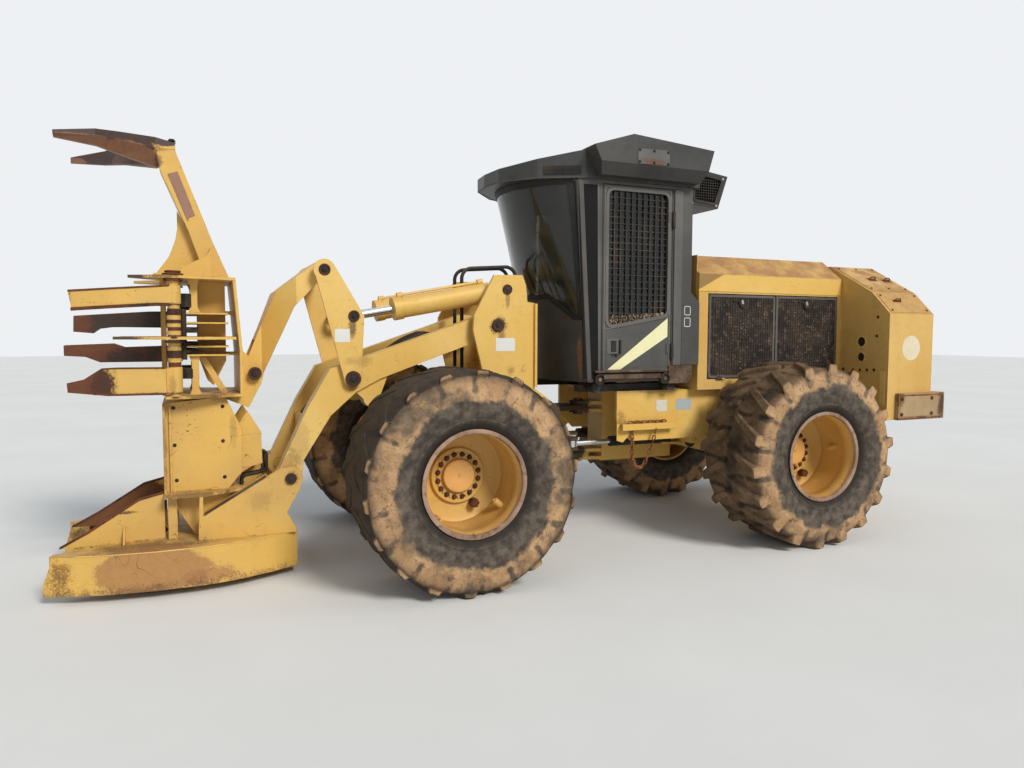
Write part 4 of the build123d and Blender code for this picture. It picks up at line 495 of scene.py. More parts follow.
YAW = 23.306
PITCH = 3.753
ROLL = 0.18
CAMERA_PLACE = (1.747, 6.077, 1.759)
LENS = 26.685
FLOOR_HALF = 60
SUN_FROM = (-0.32, 1.0, 0.80)
SUN_POWER = 2.55
SUN_COLOUR = (1.0, 0.965, 0.90)
LAMP_WORLD = ((0.86, 0.93, 1.0), 0.48)
SEEN_WORLD = ((0.90, 0.92, 0.94), 0.95)


def add_object(name, data):
    made = bpy.data.objects.new(name, data)
    bpy.context.scene.collection.objects.link(made)
    return made


def make_camera():
    """The photograph's camera, worked out from the wheels and the cab."""
    data = bpy.data.cameras.new("camera")
    data.sensor_width = 36.0
    data.lens = LENS
    data.clip_end = 200
    camera = add_object("camera", data)
    yaw, pitch = math.radians(YAW), math.radians(PITCH)
    look = Vector((-math.sin(yaw) * math.cos(pitch), -math.cos(yaw) * math.cos(pitch), -math.sin(pitch)))
    camera.matrix_world = (
        Matrix.Translation((CAMERA_PLACE[0] + AXLE_X, *CAMERA_PLACE[1:]))
        @ look.to_track_quat("-Z", "Y").to_matrix().to_4x4()
        @ Matrix.Rotation(math.radians(ROLL), 4, "Z")
    )
    bpy.context.scene.camera = camera


def make_floor():
    """A wide pale floor."""
    mesh = bpy.data.meshes.new("floor")
    corners = [(x * FLOOR_HALF, y * FLOOR_HALF, 0) for x, y in ((-1, -1), (1, -1), (1, 1), (-1, 1))]
    mesh.from_pydata(corners, [], [(0, 1, 2, 3)])
    s = Shader()
    colour = s.mix(s.range(s.noise(0.5, 3), 0.3, 0.7), (0.74, 0.74, 0.73), (0.78, 0.78, 0.77))
    s.set(Base_Color=colour, Roughness=0.9)
    mesh.materials.append(s.material)
    add_object("floor", mesh)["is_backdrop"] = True


def make_light():
    """A broad sun from the left and behind, and a pale world."""
    sun = bpy.data.lights.new("sun", "SUN")
    sun.energy = SUN_POWER
    sun.angle = math.radians(18)
    sun.color = SUN_COLOUR
    add_object("sun", sun).rotation_euler = Vector(SUN_FROM).to_track_quat("Z", "Y").to_euler()
    world = bpy.data.worlds.new("world")
    world.use_nodes = True
    tree = world.node_tree
    tree.nodes.clear()
    light = add_node(tree, "Background", 0, dict(enumerate(LAMP_WORLD)))
    seen = add_node(tree, "Background", 0, dict(enumerate(SEEN_WORLD)))
    either = 0.0
    for kind in ("Camera", "Glossy", "Transmission"):
        ray = add_node(tree, "LightPath", f"Is {kind} Ray")
        either = add_node(tree, "Math", 0, {0: either, 1: ray}, operation="MAXIMUM")
    mix = add_node(tree, "MixShader", 0, {0: either, 1: light, 2: seen})
    tree.links.new(mix, tree.nodes.new("ShaderNodeOutputWorld").inputs[0])
    bpy.context.scene.world = world


make_camera()
make_floor()
make_light()
bpy.context.scene.view_settings.view_transform = "Standard"


# Forms

SHARP = math.radians(38)


def rect(x, z):
    return [(x[0], z[0]), (x[1], z[0]), (x[1], z[1]), (x[0], z[1])]


def rounded(points, radius, steps=5):
    """The corners of a flat outline, each rounded by this radius."""
    result = []
    for i, point in enumerate(points):
        here = Vector(point)
        before = (Vector(points[i - 1]) - here).normalized()
        after = (Vector(points[(i + 1) % len(points)]) - here).normalized()
        reach = radius / math.tan(before.angle(after) / 2)
        start, end = here + before * reach, here + after * reach
        for t in (k / steps for k in range(steps + 1)):
            result.append(tuple((1 - t) ** 2 * start + 2 * t * (1 - t) * here + t ** 2 * end))
    return result


def grown(points, width):
    """A flat outline moved outwards by this width."""
    area = sum(a[0] * b[1] - b[0] * a[1] for a, b in zip(points, points[1:] + points[:1]))
    step = width if area > 0 else -width
    result = []
    for i, p in enumerate(points):
        way = (Vector(points[(i + 1) % len(points)]) - Vector(points[i - 1])).normalized()
        result.append((p[0] + way.y * step, p[1] - way.x * step))
    return result


def circle(radius, height, steps):
    """Points round the z axis."""
    return [Vector((radius * math.cos(a), radius * math.sin(a), height))
            for a in (2 * math.pi * i / steps for i in range(steps))]


class Form:
    """One piece in the making, in machine places. Its calls can be chained."""

    def __init__(self):
        self.bm = bmesh.new()

    def hull(self, rings, loop=False):
        """Skins a row of rings of points, each with as many points, and closes both ends or the loop."""
        rows = [[self.bm.verts.new(p) for p in ring] for ring in rings]
        for low, high in zip(rows, rows[1:] + rows[:1] if loop else rows[1:]):
            for i in range(len(low)):
                j = (i + 1) % len(low)
                self.bm.faces.new((low[i], low[j], high[j], high[i]))
        if not loop:
            self.bm.faces.new(list(reversed(rows[0])))
            self.bm.faces.new(rows[-1])
        return self

    def slab(self, points, near, far):
        """An (x, z) outline pushed from one y to another."""
        return self.hull([[(x, y, z) for x, z in points] for y in (near, far)])

    def box(self, x, y, z):
        return self.slab(rect(x, z), *y)

    def frame(self, points, width, near, far):
        """A flat frame round an (x, z) outline."""
        wide = grown(points, width)
        rows = ((points, near), (wide, near), (wide, far), (points, far))
        return self.hull([[(x, y, z) for x, z in outline] for outline, y in rows], loop=True)

    def rod(self, start, end, radius, sides=16):
        """A round bar between two points."""
        start, end = Vector(start), Vector(end)
        turn = (end - start).to_track_quat("Z", "Y").to_matrix()
        return self.hull([[centre + turn @ p for p in circle(radius, 0, sides)] for centre in (start, end)])

    def tube(self, points, radius, sides=8, loop=False):
        """A round bar bent along a path."""
        path = [Vector(p) for p in points]
        last = len(path) - 1
        rings = []
        side = None
        for i, p in enumerate(path):
            before = path[i - 1] if loop else path[max(i - 1, 0)]
            after = path[(i + 1) % len(path)] if loop else path[min(i + 1, last)]
            way = (after - before).normalized()
            side = side or way.orthogonal().normalized()
            side = (side - way * side.dot(way)).normalized()
            other = way.cross(side)
            rings.append([p + side * c.x + other * c.y for c in circle(radius, 0, sides)])
        return self.hull(rings, loop)

    def spin(self, profile, centre, axis, steps=48):
        """Turns (radius, height) points about an axis through centre; a radius of 0 closes an end."""
        turn = Vector(axis).to_track_quat("Z", "Y").to_matrix()
        rows = []
        for r, h in profile:
            ring = circle(r, h, steps) if r else [Vector((0, 0, h))]
            rows.append([self.bm.verts.new(Vector(centre) + turn @ p) for p in ring])
        for low, high in zip(rows, rows[1:]):
            for i in range(steps):
                j = (i + 1) % steps
                corners = [low[i % len(low)], low[j % len(low)], high[j % len(high)], high[i % len(high)]]
                unique = list(dict.fromkeys(corners))
                if len(unique) > 2:
                    self.bm.faces.new(unique)
        return self

    def bolts(self, axis, size, places):
        """Hexagon heads on their washers."""
        axis = Vector(axis).normalized()
        for place in places:
            place = Vector(place)
            self.rod(place, place + axis * size * 0.175, size * 1.35, 14)
            self.rod(place, place + axis * size * 0.7, size, 6)
        return self

    def pair(self):
        """Adds the mirror image on the machine's other side."""
        whole = self.bm.verts[:] + self.bm.edges[:] + self.bm.faces[:]
        for item in bmesh.ops.duplicate(self.bm, geom=whole)["geom"]:
            if isinstance(item, bmesh.types.BMVert):
                item.co.y *= -1
        self.bm.normal_update()
        return self

    def done(self, name, finish, slot, body="rear_frame", bevel=0.0, segments=2, jitter=0.0):
        """Makes the piece and lets it ride on its body."""
        bmesh.ops.recalc_face_normals(self.bm, faces=self.bm.faces)
        for vert in self.bm.verts:
            vert.co += noise.noise_vector(vert.co * 9) * jitter
        for edge in self.bm.edges:
            edge.smooth = edge.is_manifold and edge.calc_face_angle(0) < SHARP
        for face in self.bm.faces:
            face.smooth = True
        mesh = bpy.data.meshes.new(name)
        self.bm.to_mesh(mesh)
        self.bm.free()
        mesh.transform(Matrix.Translation((AXLE_X, 0, 0)))
        mesh.materials.append(MATERIALS[finish])
        piece = add_object(name, mesh)
        if bevel:
            rounding = piece.modifiers.new("rounded_edges", "BEVEL")
            rounding.width = bevel
            rounding.segments = segments
            rounding.limit_method = "ANGLE"
            rounding.angle_limit = SHARP
            rounding.use_clamp_overlap = True
        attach(piece, body)
        return piece


# Wheels

LUG_COUNT = 18
LUG_PITCH = 2 * math.pi / LUG_COUNT
LUG_TURN = 0.236
LUG_STATIONS = [0.0, 0.08, 0.3, 0.55, 0.78, 0.92, 1.0]
SIDEWALL = [
    (0.362, 0.270), (0.362, 0.300), (0.374, 0.304), (0.392, 0.318), (0.425, 0.336), (0.432, 0.341),
    (0.440, 0.338), (0.49, 0.355), (0.545, 0.3625), (0.60, 0.358), (0.612, 0.360), (0.624, 0.354),
    (0.665, 0.343),
]
CROWN = [(-0.028, 0.330), (-0.008, 0.306), (0.0, 0.27), (0.004, 0.14), (0.005, 0.0)]
RIM_PROFILE = [
    (0.352, -0.318), (0.362, -0.320), (0.369, -0.316), (0.369, -0.309), (0.361, -0.307), (0.3595, -0.300),
    (0.3595, 0.300), (0.361, 0.307), (0.369, 0.309), (0.369, 0.316), (0.362, 0.320), (0.350, 0.318),
    (0.345, 0.308), (0.343, 0.28), (0.333, 0.262), (0.331, 0.20), (0.338, 0.188), (0.338, 0.02),
    (0.330, 0.0), (0.330, -0.052), (0.300, -0.066), (0.200, -0.070), (0.196, -0.048), (0.192, -0.044),
    (0.128, -0.044), (0.126, -0.050), (0.118, -0.050), (0.116, -0.022), (0.110, -0.016), (0.03, -0.012),
    (0.018, -0.014), (0.0, -0.014),
]
RIM_BACK = [(0.352, -0.318), (0.345, -0.30), (0.345, -0.09), (0.10, -0.09), (0.0, -0.09)]
RIM_LIP = [
    (0.337, 0.300), (0.3385, 0.3130), (0.344, 0.3195), (0.356, 0.3215), (0.3695, 0.3195), (0.3702, 0.312),
    (0.369, 0.309), (0.364, 0.3185), (0.352, 0.3185), (0.346, 0.310), (0.346, 0.300), (0.337, 0.300),
]
HUB_CAP = [
    (0.1185, -0.050), (0.1165, -0.0205), (0.1105, -0.0145), (0.03, -0.0105), (0.018, -0.0125), (0, -0.0125),
]
STUD = [(0.0, 0.0), (0.020, 0.0), (0.019, 0.007), (0.013, 0.009), (0.011, 0.020), (0.0, 0.021)]
STUD_COUNT = 16
STUD_CIRCLE = 0.152
VALVE_TURN = math.radians(142)
GUARD_PLACE = (-0.115, 0, -0.200)
BOSS_WAY = {"front": (-0.79, 0, -0.61), "rear": (-0.995, 0, 0.10)}


def lug_ring(t, middle_turn, row, crown_r):
    """The section of a lug at this share of its length, from the tread's middle to past the shoulder."""
    over = max(0.0, t - 1.0)
    y = min(0.016 + 0.32 * t, 0.336) + over * 0.07
    turn = middle_turn + (min(t, 1.0) - 0.5) * LUG_TURN
    top = TYRE_R - 0.0012 - 0.004 * min(t, 1.0) ** 2 - over * 0.38 - (0.0 if 0 < t < 1.0 else 0.006)
    base = crown_r - 0.03 - over * 0.40
    wide = 0.030 + 0.009 * min(t, 1.0) - 0.03 * over
    foot_y = y - 0.02 if over else y
    ring = []
    for across, r, at in ((-1.45, base, foot_y), (-1.0, top - 0.006, y), (-0.8, top, y), (0.8, top, y),
                          (1.0, top - 0.006, y), (1.45, base, foot_y)):
        angle = turn + across * wide / TYRE_R
        ring.append(Vector((r * math.sin(angle), row * at, r * math.cos(angle))))
    return ring


def make_tyre(start, axle, side, crown_r, finish, wear, reach):
    """A lugged tyre with rounded shoulders, sidewall rings and clods of dried mud."""
    form = Form()
    bm = form.bm
    half = SIDEWALL + [(crown_r + r, y) for r, y in CROWN]
    profile = [(r, -y) for r, y in half] + half[-2::-1]
    form.spin(profile, (0, 0, 0), (0, 1, 0), 120)
    stations = LUG_STATIONS + [1.0 + 0.1 * reach, 1.0 + 0.2 * reach]
    for row in (1, -1):
        for index in range(LUG_COUNT):
            middle_turn = (index + (0.5 if row > 0 else 0)) * LUG_PITCH
            form.hull([lug_ring(t, middle_turn, row, crown_r) for t in stations])
    bmesh.ops.recalc_face_normals(bm, faces=bm.faces)
    long_edges = [e for e in bm.edges if e.calc_length() > 0.045]
    bmesh.ops.subdivide_edges(bm, edges=long_edges, cuts=1, use_grid_fill=True)
    for vert in bm.verts:
        radius = math.hypot(vert.co.x, vert.co.z)
        if radius < 0.56:
            continue
        clod = noise.fractal(vert.co * 14, 1.0, 2.0, 4) * 0.0035 * wear
        chunk = max(0.0, noise.noise(vert.co * 5 + Vector((3, 1, 7))) - 0.25) * 0.016 * wear
        scale = min((TYRE_R - 0.0005) / radius, 1 + (clod - chunk) / radius)
        vert.co.x *= scale
        vert.co.z *= scale
    across = bm.loops.layers.uv.new("across")
    around = bm.loops.layers.uv.new("around")
    for face in bm.faces:
        mid = face.calc_center_median()
        first = math.atan2(mid.x, mid.z)
        for loop in face.loops:
            co = loop.vert.co
            turn = first + math.remainder(math.atan2(co.x, co.z) - first, 2 * math.pi)
            loop[across].uv = (abs(co.y), math.hypot(co.x, co.z))
            loop[around].uv = (turn / LUG_PITCH - (0.838 if mid.y > 0 else 0.338), co.y)
    bmesh.ops.transform(bm, matrix=Matrix.Translation((axle, side * WHEEL_Y, WHEEL_Z)), verts=bm.verts)
    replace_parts(form.done(f"{start}_surface", finish, "tyre", f"{start}_wheel"), f"{start}_tyre")


def make_rim(start, axle, side, boss_way):
    """The deep rim with its disc, lip, hub cap, studs, valve guard and boss."""
    body = f"{start}_wheel"
    out = Vector((0, side, 0))
    centre = Vector((axle, side * WHEEL_Y, WHEEL_Z))

    def place(way, radius, depth):
        return centre + Vector(way) * radius + out * depth

    def stud_way(index):
        turn = 2 * math.pi * index / STUD_COUNT
        return math.sin(turn), 0, math.cos(turn)

    form = Form().spin(RIM_PROFILE, centre, out, 96).spin(RIM_BACK, centre, out, 96)
    bmesh.ops.remove_doubles(form.bm, verts=form.bm.verts, dist=1e-5)
    for index in range(STUD_COUNT):
        way = stud_way(index)
        form.rod(place(way, STUD_CIRCLE, -0.044), place(way, STUD_CIRCLE, -0.034), 0.010, 6)
    valve = (math.sin(VALVE_TURN), 0, math.cos(VALVE_TURN))
    form.rod(place(valve, 0.325, 0.05), place(valve, 0.325, 0.13), 0.020, 12)
    form.rod(place(valve, 0.325, 0.13), place(valve, 0.325, 0.18), 0.012, 10)
    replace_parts(form.done(f"{start}_wheel_disc", "wheel", "yellow_paint", body, bevel=0.0015), f"{start}_rim")
    Form().spin(RIM_LIP, centre, out, 96).done(f"{start}_rim_lip", "lip", "iron", body)
    form = Form()
    for index in range(STUD_COUNT):
        form.spin(STUD, place(stud_way(index + 0.5), STUD_CIRCLE, -0.046), out, 14)
    form.rod(place(GUARD_PLACE, 1, -0.062), place(GUARD_PLACE, 1, -0.007), 0.034, 6)
    form.done(f"{start}_wheel_studs", "rust_dark", "iron", body)
    form = Form().rod(place(boss_way, 0.340, 0.10), place(boss_way, 0.272, 0.10), 0.026, 20)
    form.rod(place(boss_way, 0.275, 0.10), place(boss_way, 0.262, 0.10), 0.015, 12)
    form.done(f"{start}_rim_boss", "wheel", "yellow_paint", body, bevel=0.003)
    form = Form().spin(HUB_CAP, centre, out, 64)
    form.rod(centre + out * -0.0125, centre + out * -0.008, 0.010, 10)
    form.done(f"{start}_hub_cap", "hub_cap", "yellow_paint", body)


# Axle, crown radius, finish, wear of the lugs and their reach past the shoulder
for end, axle, crown_r, finish, wear, reach in (
    ("front", 0.0, TYRE_R - 0.014, "tyre_front", 2.2, 0.12),
    ("rear", REAR_AXLE, TYRE_R - 0.038, "tyre_rear", 0.8, 1.0),
):
    for label, side in (("left", 1), ("right", -1)):
        make_tyre(f"{end}_{label}", axle, side, crown_r, finish, wear, reach)
        make_rim(f"{end}_{label}", axle, side, BOSS_WAY[end])


# Parts that several pieces below share

random.seed(11)


def curve(points, steps=8):
    """A smooth path through these points."""
    path = [Vector(p) for p in points]
    result = []
    for i in range(len(path) - 1):
        a, b = path[max(i - 1, 0)], path[i]
        c, d = path[i + 1], path[min(i + 2, len(path) - 1)]
        for t in (k / steps for k in range(steps)):
            result.append(0.5 * (2 * b + (c - a) * t + (2 * a - 5 * b + 4 * c - d) * t ** 2
                                 + (3 * b - a - 3 * c + d) * t ** 3))
    return result + [path[-1]]


def grid(form, x, z, y, pitch, wire):
    """Crossed wires over a side opening."""
    for at in shares(x, pitch):
        form.box((at - wire / 2, at + wire / 2), (y, y + wire), z)
    for at in shares(z, pitch):
        form.box(x, (y - wire * 0.05, y + wire * 1.05), (at - wire / 2, at + wire / 2))


def shares(limits, pitch):
    """Places between two limits, about this far apart."""
    count = round((limits[1] - limits[0]) / pitch)
    return [limits[0] + (limits[1] - limits[0]) * i / count for i in range(1, count)]


def clods(name, finish, slot, body, spots, count, size):
    """Scattered flakes of dirt inside boxes, given as (x, y, z) limits."""
    form = Form()
    for _ in range(count):
        centre = Vector([random.uniform(*limits) for limits in random.choice(spots)])
        reach = random.uniform(0.4, 1.0) * size
        verts = []
        for _ in range(4):
            corner = Vector((random.uniform(-1, 1), random.uniform(-0.5, 0.5), random.uniform(-1, 1)))
            verts.append(form.bm.verts.new(centre + corner * reach))
        for a, b, c in ((0, 1, 2), (0, 2, 3), (0, 3, 1), (1, 3, 2)):
            form.bm.faces.new((verts[a], verts[b], verts[c]))
    form.done(name, finish, slot, body)


# Cab

CAB_LOW = 1.37
CAB_EAVE = 3.0
PILLAR_LOW_X = -1.25
PILLAR_TOP_X = -1.155
SILL_Z = 1.88
BOW_LOW = 0.130
BOW_TOP = 0.385
ARC_Y = 0.645
OUT = (0, 1, 0)


def pillar_x(z):
    """Front edge of the cab's side at this height."""
    return PILLAR_LOW_X + (PILLAR_TOP_X - PILLAR_LOW_X) * (z - CAB_LOW) / (CAB_EAVE - CAB_LOW)


def glass_point(y, z, out):
    """A place on the bowed front at this height and side, moved out by this much."""
    share = max(0.0, (z - SILL_Z) / (CAB_EAVE - SILL_Z))
    bow = BOW_LOW + (BOW_TOP - BOW_LOW) * share
    radius = (ARC_Y ** 2 + bow ** 2) / (2 * bow)
    x = pillar_x(z) + bow - radius + math.sqrt(max(radius ** 2 - y ** 2, 0))
    return Vector((x + out, y * (1 + out * 0.6), z))


def bowed_strip(form, points, step, width, high):
    """A strip on the bowed front along (y, z) points, cut into short steps, this wide and high."""
    path = []
    for a, b in zip(points, points[1:]):
        count = max(1, round(math.dist(a, b) / step))
        path += [(a[0] + (b[0] - a[0]) * k / count, a[1] + (b[1] - a[1]) * k / count) for k in range(count)]
    path.append(points[-1])
    rings = []
    for i, (y, z) in enumerate(path):
        a, b = path[max(i - 1, 0)], path[min(i + 1, len(path) - 1)]
        way = Vector((b[0] - a[0], b[1] - a[1])).normalized() * width / 2
        left, right = (y - way.y, z + way.x), (y + way.y, z - way.x)
        rings.append([glass_point(*at, out) for at, out in
                      ((left, 0.001), (right, 0.001), (right, high), (left, high))])
    form.hull(rings)


form = Form()
sill = [(-0.630, 1.895), (-0.56, 1.895), (-0.30, 2.075), (0.30, 2.075), (0.56, 1.895), (0.630, 1.895)]
bowed_strip(form, sill, 0.04, 0.038, 0.010)
bowed_strip(form, [(-0.625, 2.975), (0.625, 2.975)], 0.05, 0.045, 0.009)
for y in (0.618, -0.618):
    bowed_strip(form, [(y, 1.895), (y, 2.98)], 0.1, 0.034, 0.009)
form.done("windshield_seal", "seal", "plastic")

pillar = [(0.012, 0.640), (0.020, 0.662), (0.004, 0.681), (-0.034, 0.683), (-0.034, 0.640)]
form = Form()
form.hull([[(pillar_x(at) + dx, y, z) for dx, y in pillar] for at, z in ((1.40, 1.385), (2.985, 2.985))])
form.pair().done("cab_front_pillars", "pillar", "cab_grey", bevel=0.004)
form = Form().slab([(-1.215, 1.40), (-1.150, 2.955), (-1.325, 2.955), (-1.352, 1.40)], 0.668, 0.6785)
form.pair().done("cab_side_gap_strips", "gloss", "cab_grey")
form = Form().slab(rect((-2.062, -2.145), (1.50, 2.972)), 0.676, 0.688).pair()
for near, far in ((0.676, 0.684), (-0.688, -0.676)):
    form.slab([(-1.340, 1.42), (-1.318, 2.965), (-1.334, 2.965), (-1.358, 1.42)], near, far)
form.done("cab_side_posts", "grey_light", "cab_grey", bevel=0.003)
form = Form().slab([(-2.150, 1.50), (-2.150, 2.214), (-2.335, 2.035), (-2.335, 1.50)], 0.600, 0.682)
form.pair().done("cab_rear_panels", "grey", "cab_grey", bevel=0.004)
foot = [(-2.020, 1.345), (-2.020, 1.498), (-2.262, 1.498), (-2.262, 1.390), (-2.215, 1.345)]
form = Form().slab(foot, 0.60, 0.693)
form.pair().done("cab_rear_feet", "brown", "cab_grey", bevel=0.004)
form = Form()
for low, high in ((1.931, 1.998), (1.832, 1.900)):
    form.frame(rounded(rect((-2.235, -2.182), (low, high)), 0.010), 0.0055, 0.6825, 0.6835)
form.done("cab_blank_tags", "label", "cab_grey")

# Sill bars and round mounts below the doors
form = Form().box((-1.995, -1.302), (0.676, 0.714), (1.448, 1.466))
form.box((-1.930, -1.380), (0.676, 0.712), (1.395, 1.432))
form.pair().done("cab_sill_bars", "brown", "cab_grey", bevel=0.003)
MOUNTS_X = (-1.348, -1.978)
MOUNTS_Z = 1.392
MOUNT_RING = [
    (0.0, 0.0), (0.046, 0.0), (0.048, 0.010), (0.046, 0.032), (0.036, 0.034), (0.033, 0.022), (0.0, 0.020),
]
form = Form()
for x in MOUNTS_X:
    form.spin(MOUNT_RING, (x, 0.676, MOUNTS_Z), OUT, 28)
form.pair().done("cab_mount_rings", "seal", "plastic")
form = Form().bolts(OUT, 0.016, [(x, 0.694, MOUNTS_Z) for x in MOUNTS_X])
form.pair().done("cab_mount_bolts", "rust", "black_steel")

# Door: frame lips, stripe, handle, and guard debris
WINDOW = [(-2.000, 1.930), (-2.000, 2.925), (-1.430, 2.925), (-1.430, 1.830)]
form = Form().frame(rounded(WINDOW, 0.055), 0.030, 0.672, 0.682)
form.frame(rounded(rect((-2.036, -1.384), (1.455, 2.962)), 0.030), -0.016, 0.674, 0.680)
form.slab([(-2.030, 1.905), (-2.030, 1.918), (-1.395, 1.806), (-1.395, 1.793)], 0.674, 0.680)
form.done("door_frame_lips", "grey_light", "cab_grey", "cab_door", bevel=0.002)
form = Form().slab([(-1.406, 1.453), (-1.521, 1.453), (-2.012, 1.743), (-2.012, 1.898)], 0.6752, 0.6762)
form.done("door_stripe", "stripe", "cab_grey", "cab_door")
form = Form().box((-1.545, -1.422), (0.6745, 0.679), (1.600, 1.723))
form.done("door_handle_plate", "grey_light", "cab_grey", "cab_door", bevel=0.002)
form = Form().box((-1.512, -1.458), (0.6748, 0.6796), (1.615, 1.710))
form.box((-1.552, -1.536), (0.676, 0.694), (1.600, 1.715))
form.done("door_handle", "seal", "plastic", "cab_door", bevel=0.002)
spots = []
for i in range(12):
    x = -1.45 - i * 0.045
    base = 1.836 + i * 0.0082
    spots += [((x - 0.03, x + 0.02), (0.664, 0.672), (base, base + max(0.012, 0.075 - i * 0.006)))] * 2
clods("door_guard_debris", "debris", "cab_grey", "cab_door", spots, 360, 0.011)
form = Form()
for z in (1.60, 2.70):
    form.rod((-2.050, 0.689, z - 0.045), (-2.050, 0.689, z + 0.085), 0.0155, 14)
form.done("door_hinge_sleeves", "black", "cab_grey", "cab_door")

# Roof plates, the screened box behind, and the rear window's bars
plate = [(-1.885, 3.118), (-1.885, 3.240), (-1.585, 3.232), (-1.585, 3.112)]
form = Form().slab(rounded(plate, 0.02), 0.850, 0.856)
form.pair().done("roof_side_plates", "grey_light", "cab_grey", bevel=0.002)
form = Form().bolts(OUT, 0.009, [(x, 0.856, z) for x in (-1.868, -1.735, -1.602) for z in (3.130, 3.222)])
form.pair().done("roof_plate_bolts", "black", "cab_grey")
# Black strips along the roof's front corners: painted shade of the visor's shaded underside
ROOF_FRONT_OUT = Vector((0.47, 0.88, 0))
strip = [Vector((-0.905, 0.549, 0)), Vector((-1.165, 0.687, 0))]
strip += [p + ROOF_FRONT_OUT * 0.006 for p in reversed(strip)]
form = Form().hull([[p + Vector((0, 0, z)) for p in strip] for z in (3.028, 3.092)])
form.pair().done("roof_front_shade_strips", "black", "cab_grey", bevel=0.001)
form = Form().bolts(ROOF_FRONT_OUT, 0.006, [(-0.927 - 0.055 * i, 0.568 + 0.0292 * i, 3.06) for i in range(5)])
form.pair().done("roof_strip_bolts", "black", "cab_grey")
form = Form().frame(rounded([(-2.400, 2.950), (-2.400, 3.170), (-2.680, 3.130), (-2.610, 2.930)], 0.015),
                    0.022, 0.497, 0.505)
form.pair()
for y in (0.485, -0.485):
    grid(form, (-2.675, -2.405), (2.945, 3.150), y, 0.024, 0.004)
form.done("roof_box_screens", "mesh", "cab_grey")
form = Form().bolts(OUT, 0.008, [(x, 0.5, z) for x, z in
                                 ((-2.372, 3.19), (-2.372, 2.915), (-2.700, 3.145), (-2.630, 2.905))])
form.pair().done("roof_box_bolts", "bare", "cab_grey")
form = Form()
for y in (-0.5 + i / 18 for i in range(1, 18)):
    form.box((-2.240, -2.234), (y - 0.003, y + 0.003), (2.52, 2.90))
for z in (2.52 + 0.38 * i / 8 for i in range(1, 8)):
    form.box((-2.246, -2.240), (-0.5, 0.5), (z - 0.003, z + 0.003))
form.done("rear_window_bars", "mesh", "cab_grey")
form = Form()
for y, z in (((-0.53, 0.53), (2.49, 2.518)), ((-0.53, 0.53), (2.902, 2.93)),
             ((-0.53, -0.502), (2.518, 2.902)), ((0.502, 0.53), (2.518, 2.902))):
    form.box((-2.256, -2.251), y, z)
form.done("rear_window_seal", "seal", "plastic")
form = Form()
bead = ((-0.62, 0.0), (-0.645, 0.24), (-0.862, 0.522), (-1.200, 0.701))
for side in (1, -1):
    form.tube([(x, side * y, 3.001) for x, y in bead], 0.006, 6)
form.done("roof_edge_beads", "pillar", "cab_grey")

# Seat and controls
form = Form().box((-2.09, -1.60), (-0.255, 0.255), (1.79, 1.905))
back = [(-2.10, 1.90), (-1.985, 1.90), (-2.075, 2.49), (-2.11, 2.53), (-2.165, 2.53), (-2.185, 2.48)]
form.slab(back, -0.235, 0.235)
seat = form.done("seat_cushions", "cloth", "seat_fabric", bevel=0.035, segments=5)
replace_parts(seat, "operator_seat")
form = Form().slab([(-2.06, 1.93), (-1.95, 1.93), (-2.045, 2.36), (-2.12, 2.40)], 0.20, 0.262)
form.box((-2.05, -1.62), (0.20, 0.262), (1.885, 1.925))
form.pair().done("seat_bolsters", "cloth", "seat_fabric", bevel=0.02, segments=4)
form = Form().box((-2.06, -1.66), (-0.20, 0.20), (1.60, 1.792))
form.box((-2.00, -1.72), (-0.16, 0.16), (1.40, 1.60))
for z in (1.45, 1.49, 1.53, 1.57):
    form.box((-2.02, -1.70), (-0.18, 0.18), (z - 0.012, z + 0.012))
form.done("seat_base", "seal", "plastic", bevel=0.008)
knob = [(0.0, -0.03), (0.02, -0.028), (0.032, -0.01), (0.034, 0.012), (0.024, 0.03), (0.0, 0.034)]
form = Form().spin(knob, (-1.535, 0.39, 2.245), (0.15, 0, 1), 20)
boot = [(0.055, 0.0), (0.052, 0.02), (0.036, 0.04), (0.038, 0.055), (0.026, 0.075), (0.022, 0.12), (0, 0.12)]
form.spin(boot, (-1.540, 0.39, 2.018), (0, 0, 1), 20)
for x in (-1.70, -1.75, -1.80, -1.85):
    form.box((x, x + 0.025), (0.355, 0.425), (2.018, 2.034))
form.pair().done("control_knobs", "seal", "plastic")
form = Form().slab([(-1.33, 1.95), (-1.25, 2.00), (-1.25, 2.16), (-1.33, 2.14)], 0.34, 0.56)
form.rod((-1.30, 0.45, 1.42), (-1.29, 0.45, 1.96), 0.02, 10)
form.box((-1.50, -1.30), (-0.18, -0.06), (1.43, 1.455))
form.box((-1.50, -1.30), (0.06, 0.18), (1.43, 1.455))
form.done("cab_display_and_pedals", "plastic", "plastic", bevel=0.008)


# Hood and side screens

fascia = [(-2.345, 2.150), (-2.613, 2.287), (-3.990, 2.283), (-3.990, 2.132), (-2.345, 2.138)]
form = Form().slab(fascia, 0.6502, 0.6545)
form.pair().done("hood_fascia", "yellow_part", "yellow_paint", bevel=0.0015)
# Flat triangles in the side plane at the hood's front corners, painted darker: painted shade of the slanted
# corner facet, over the top's dust
form = Form().slab([(-2.351, 2.155), (-2.351, 2.289), (-2.609, 2.289)], 0.6502, 0.6525)
form.pair().done("hood_corner_facets", "shaded_facet", "yellow_paint")


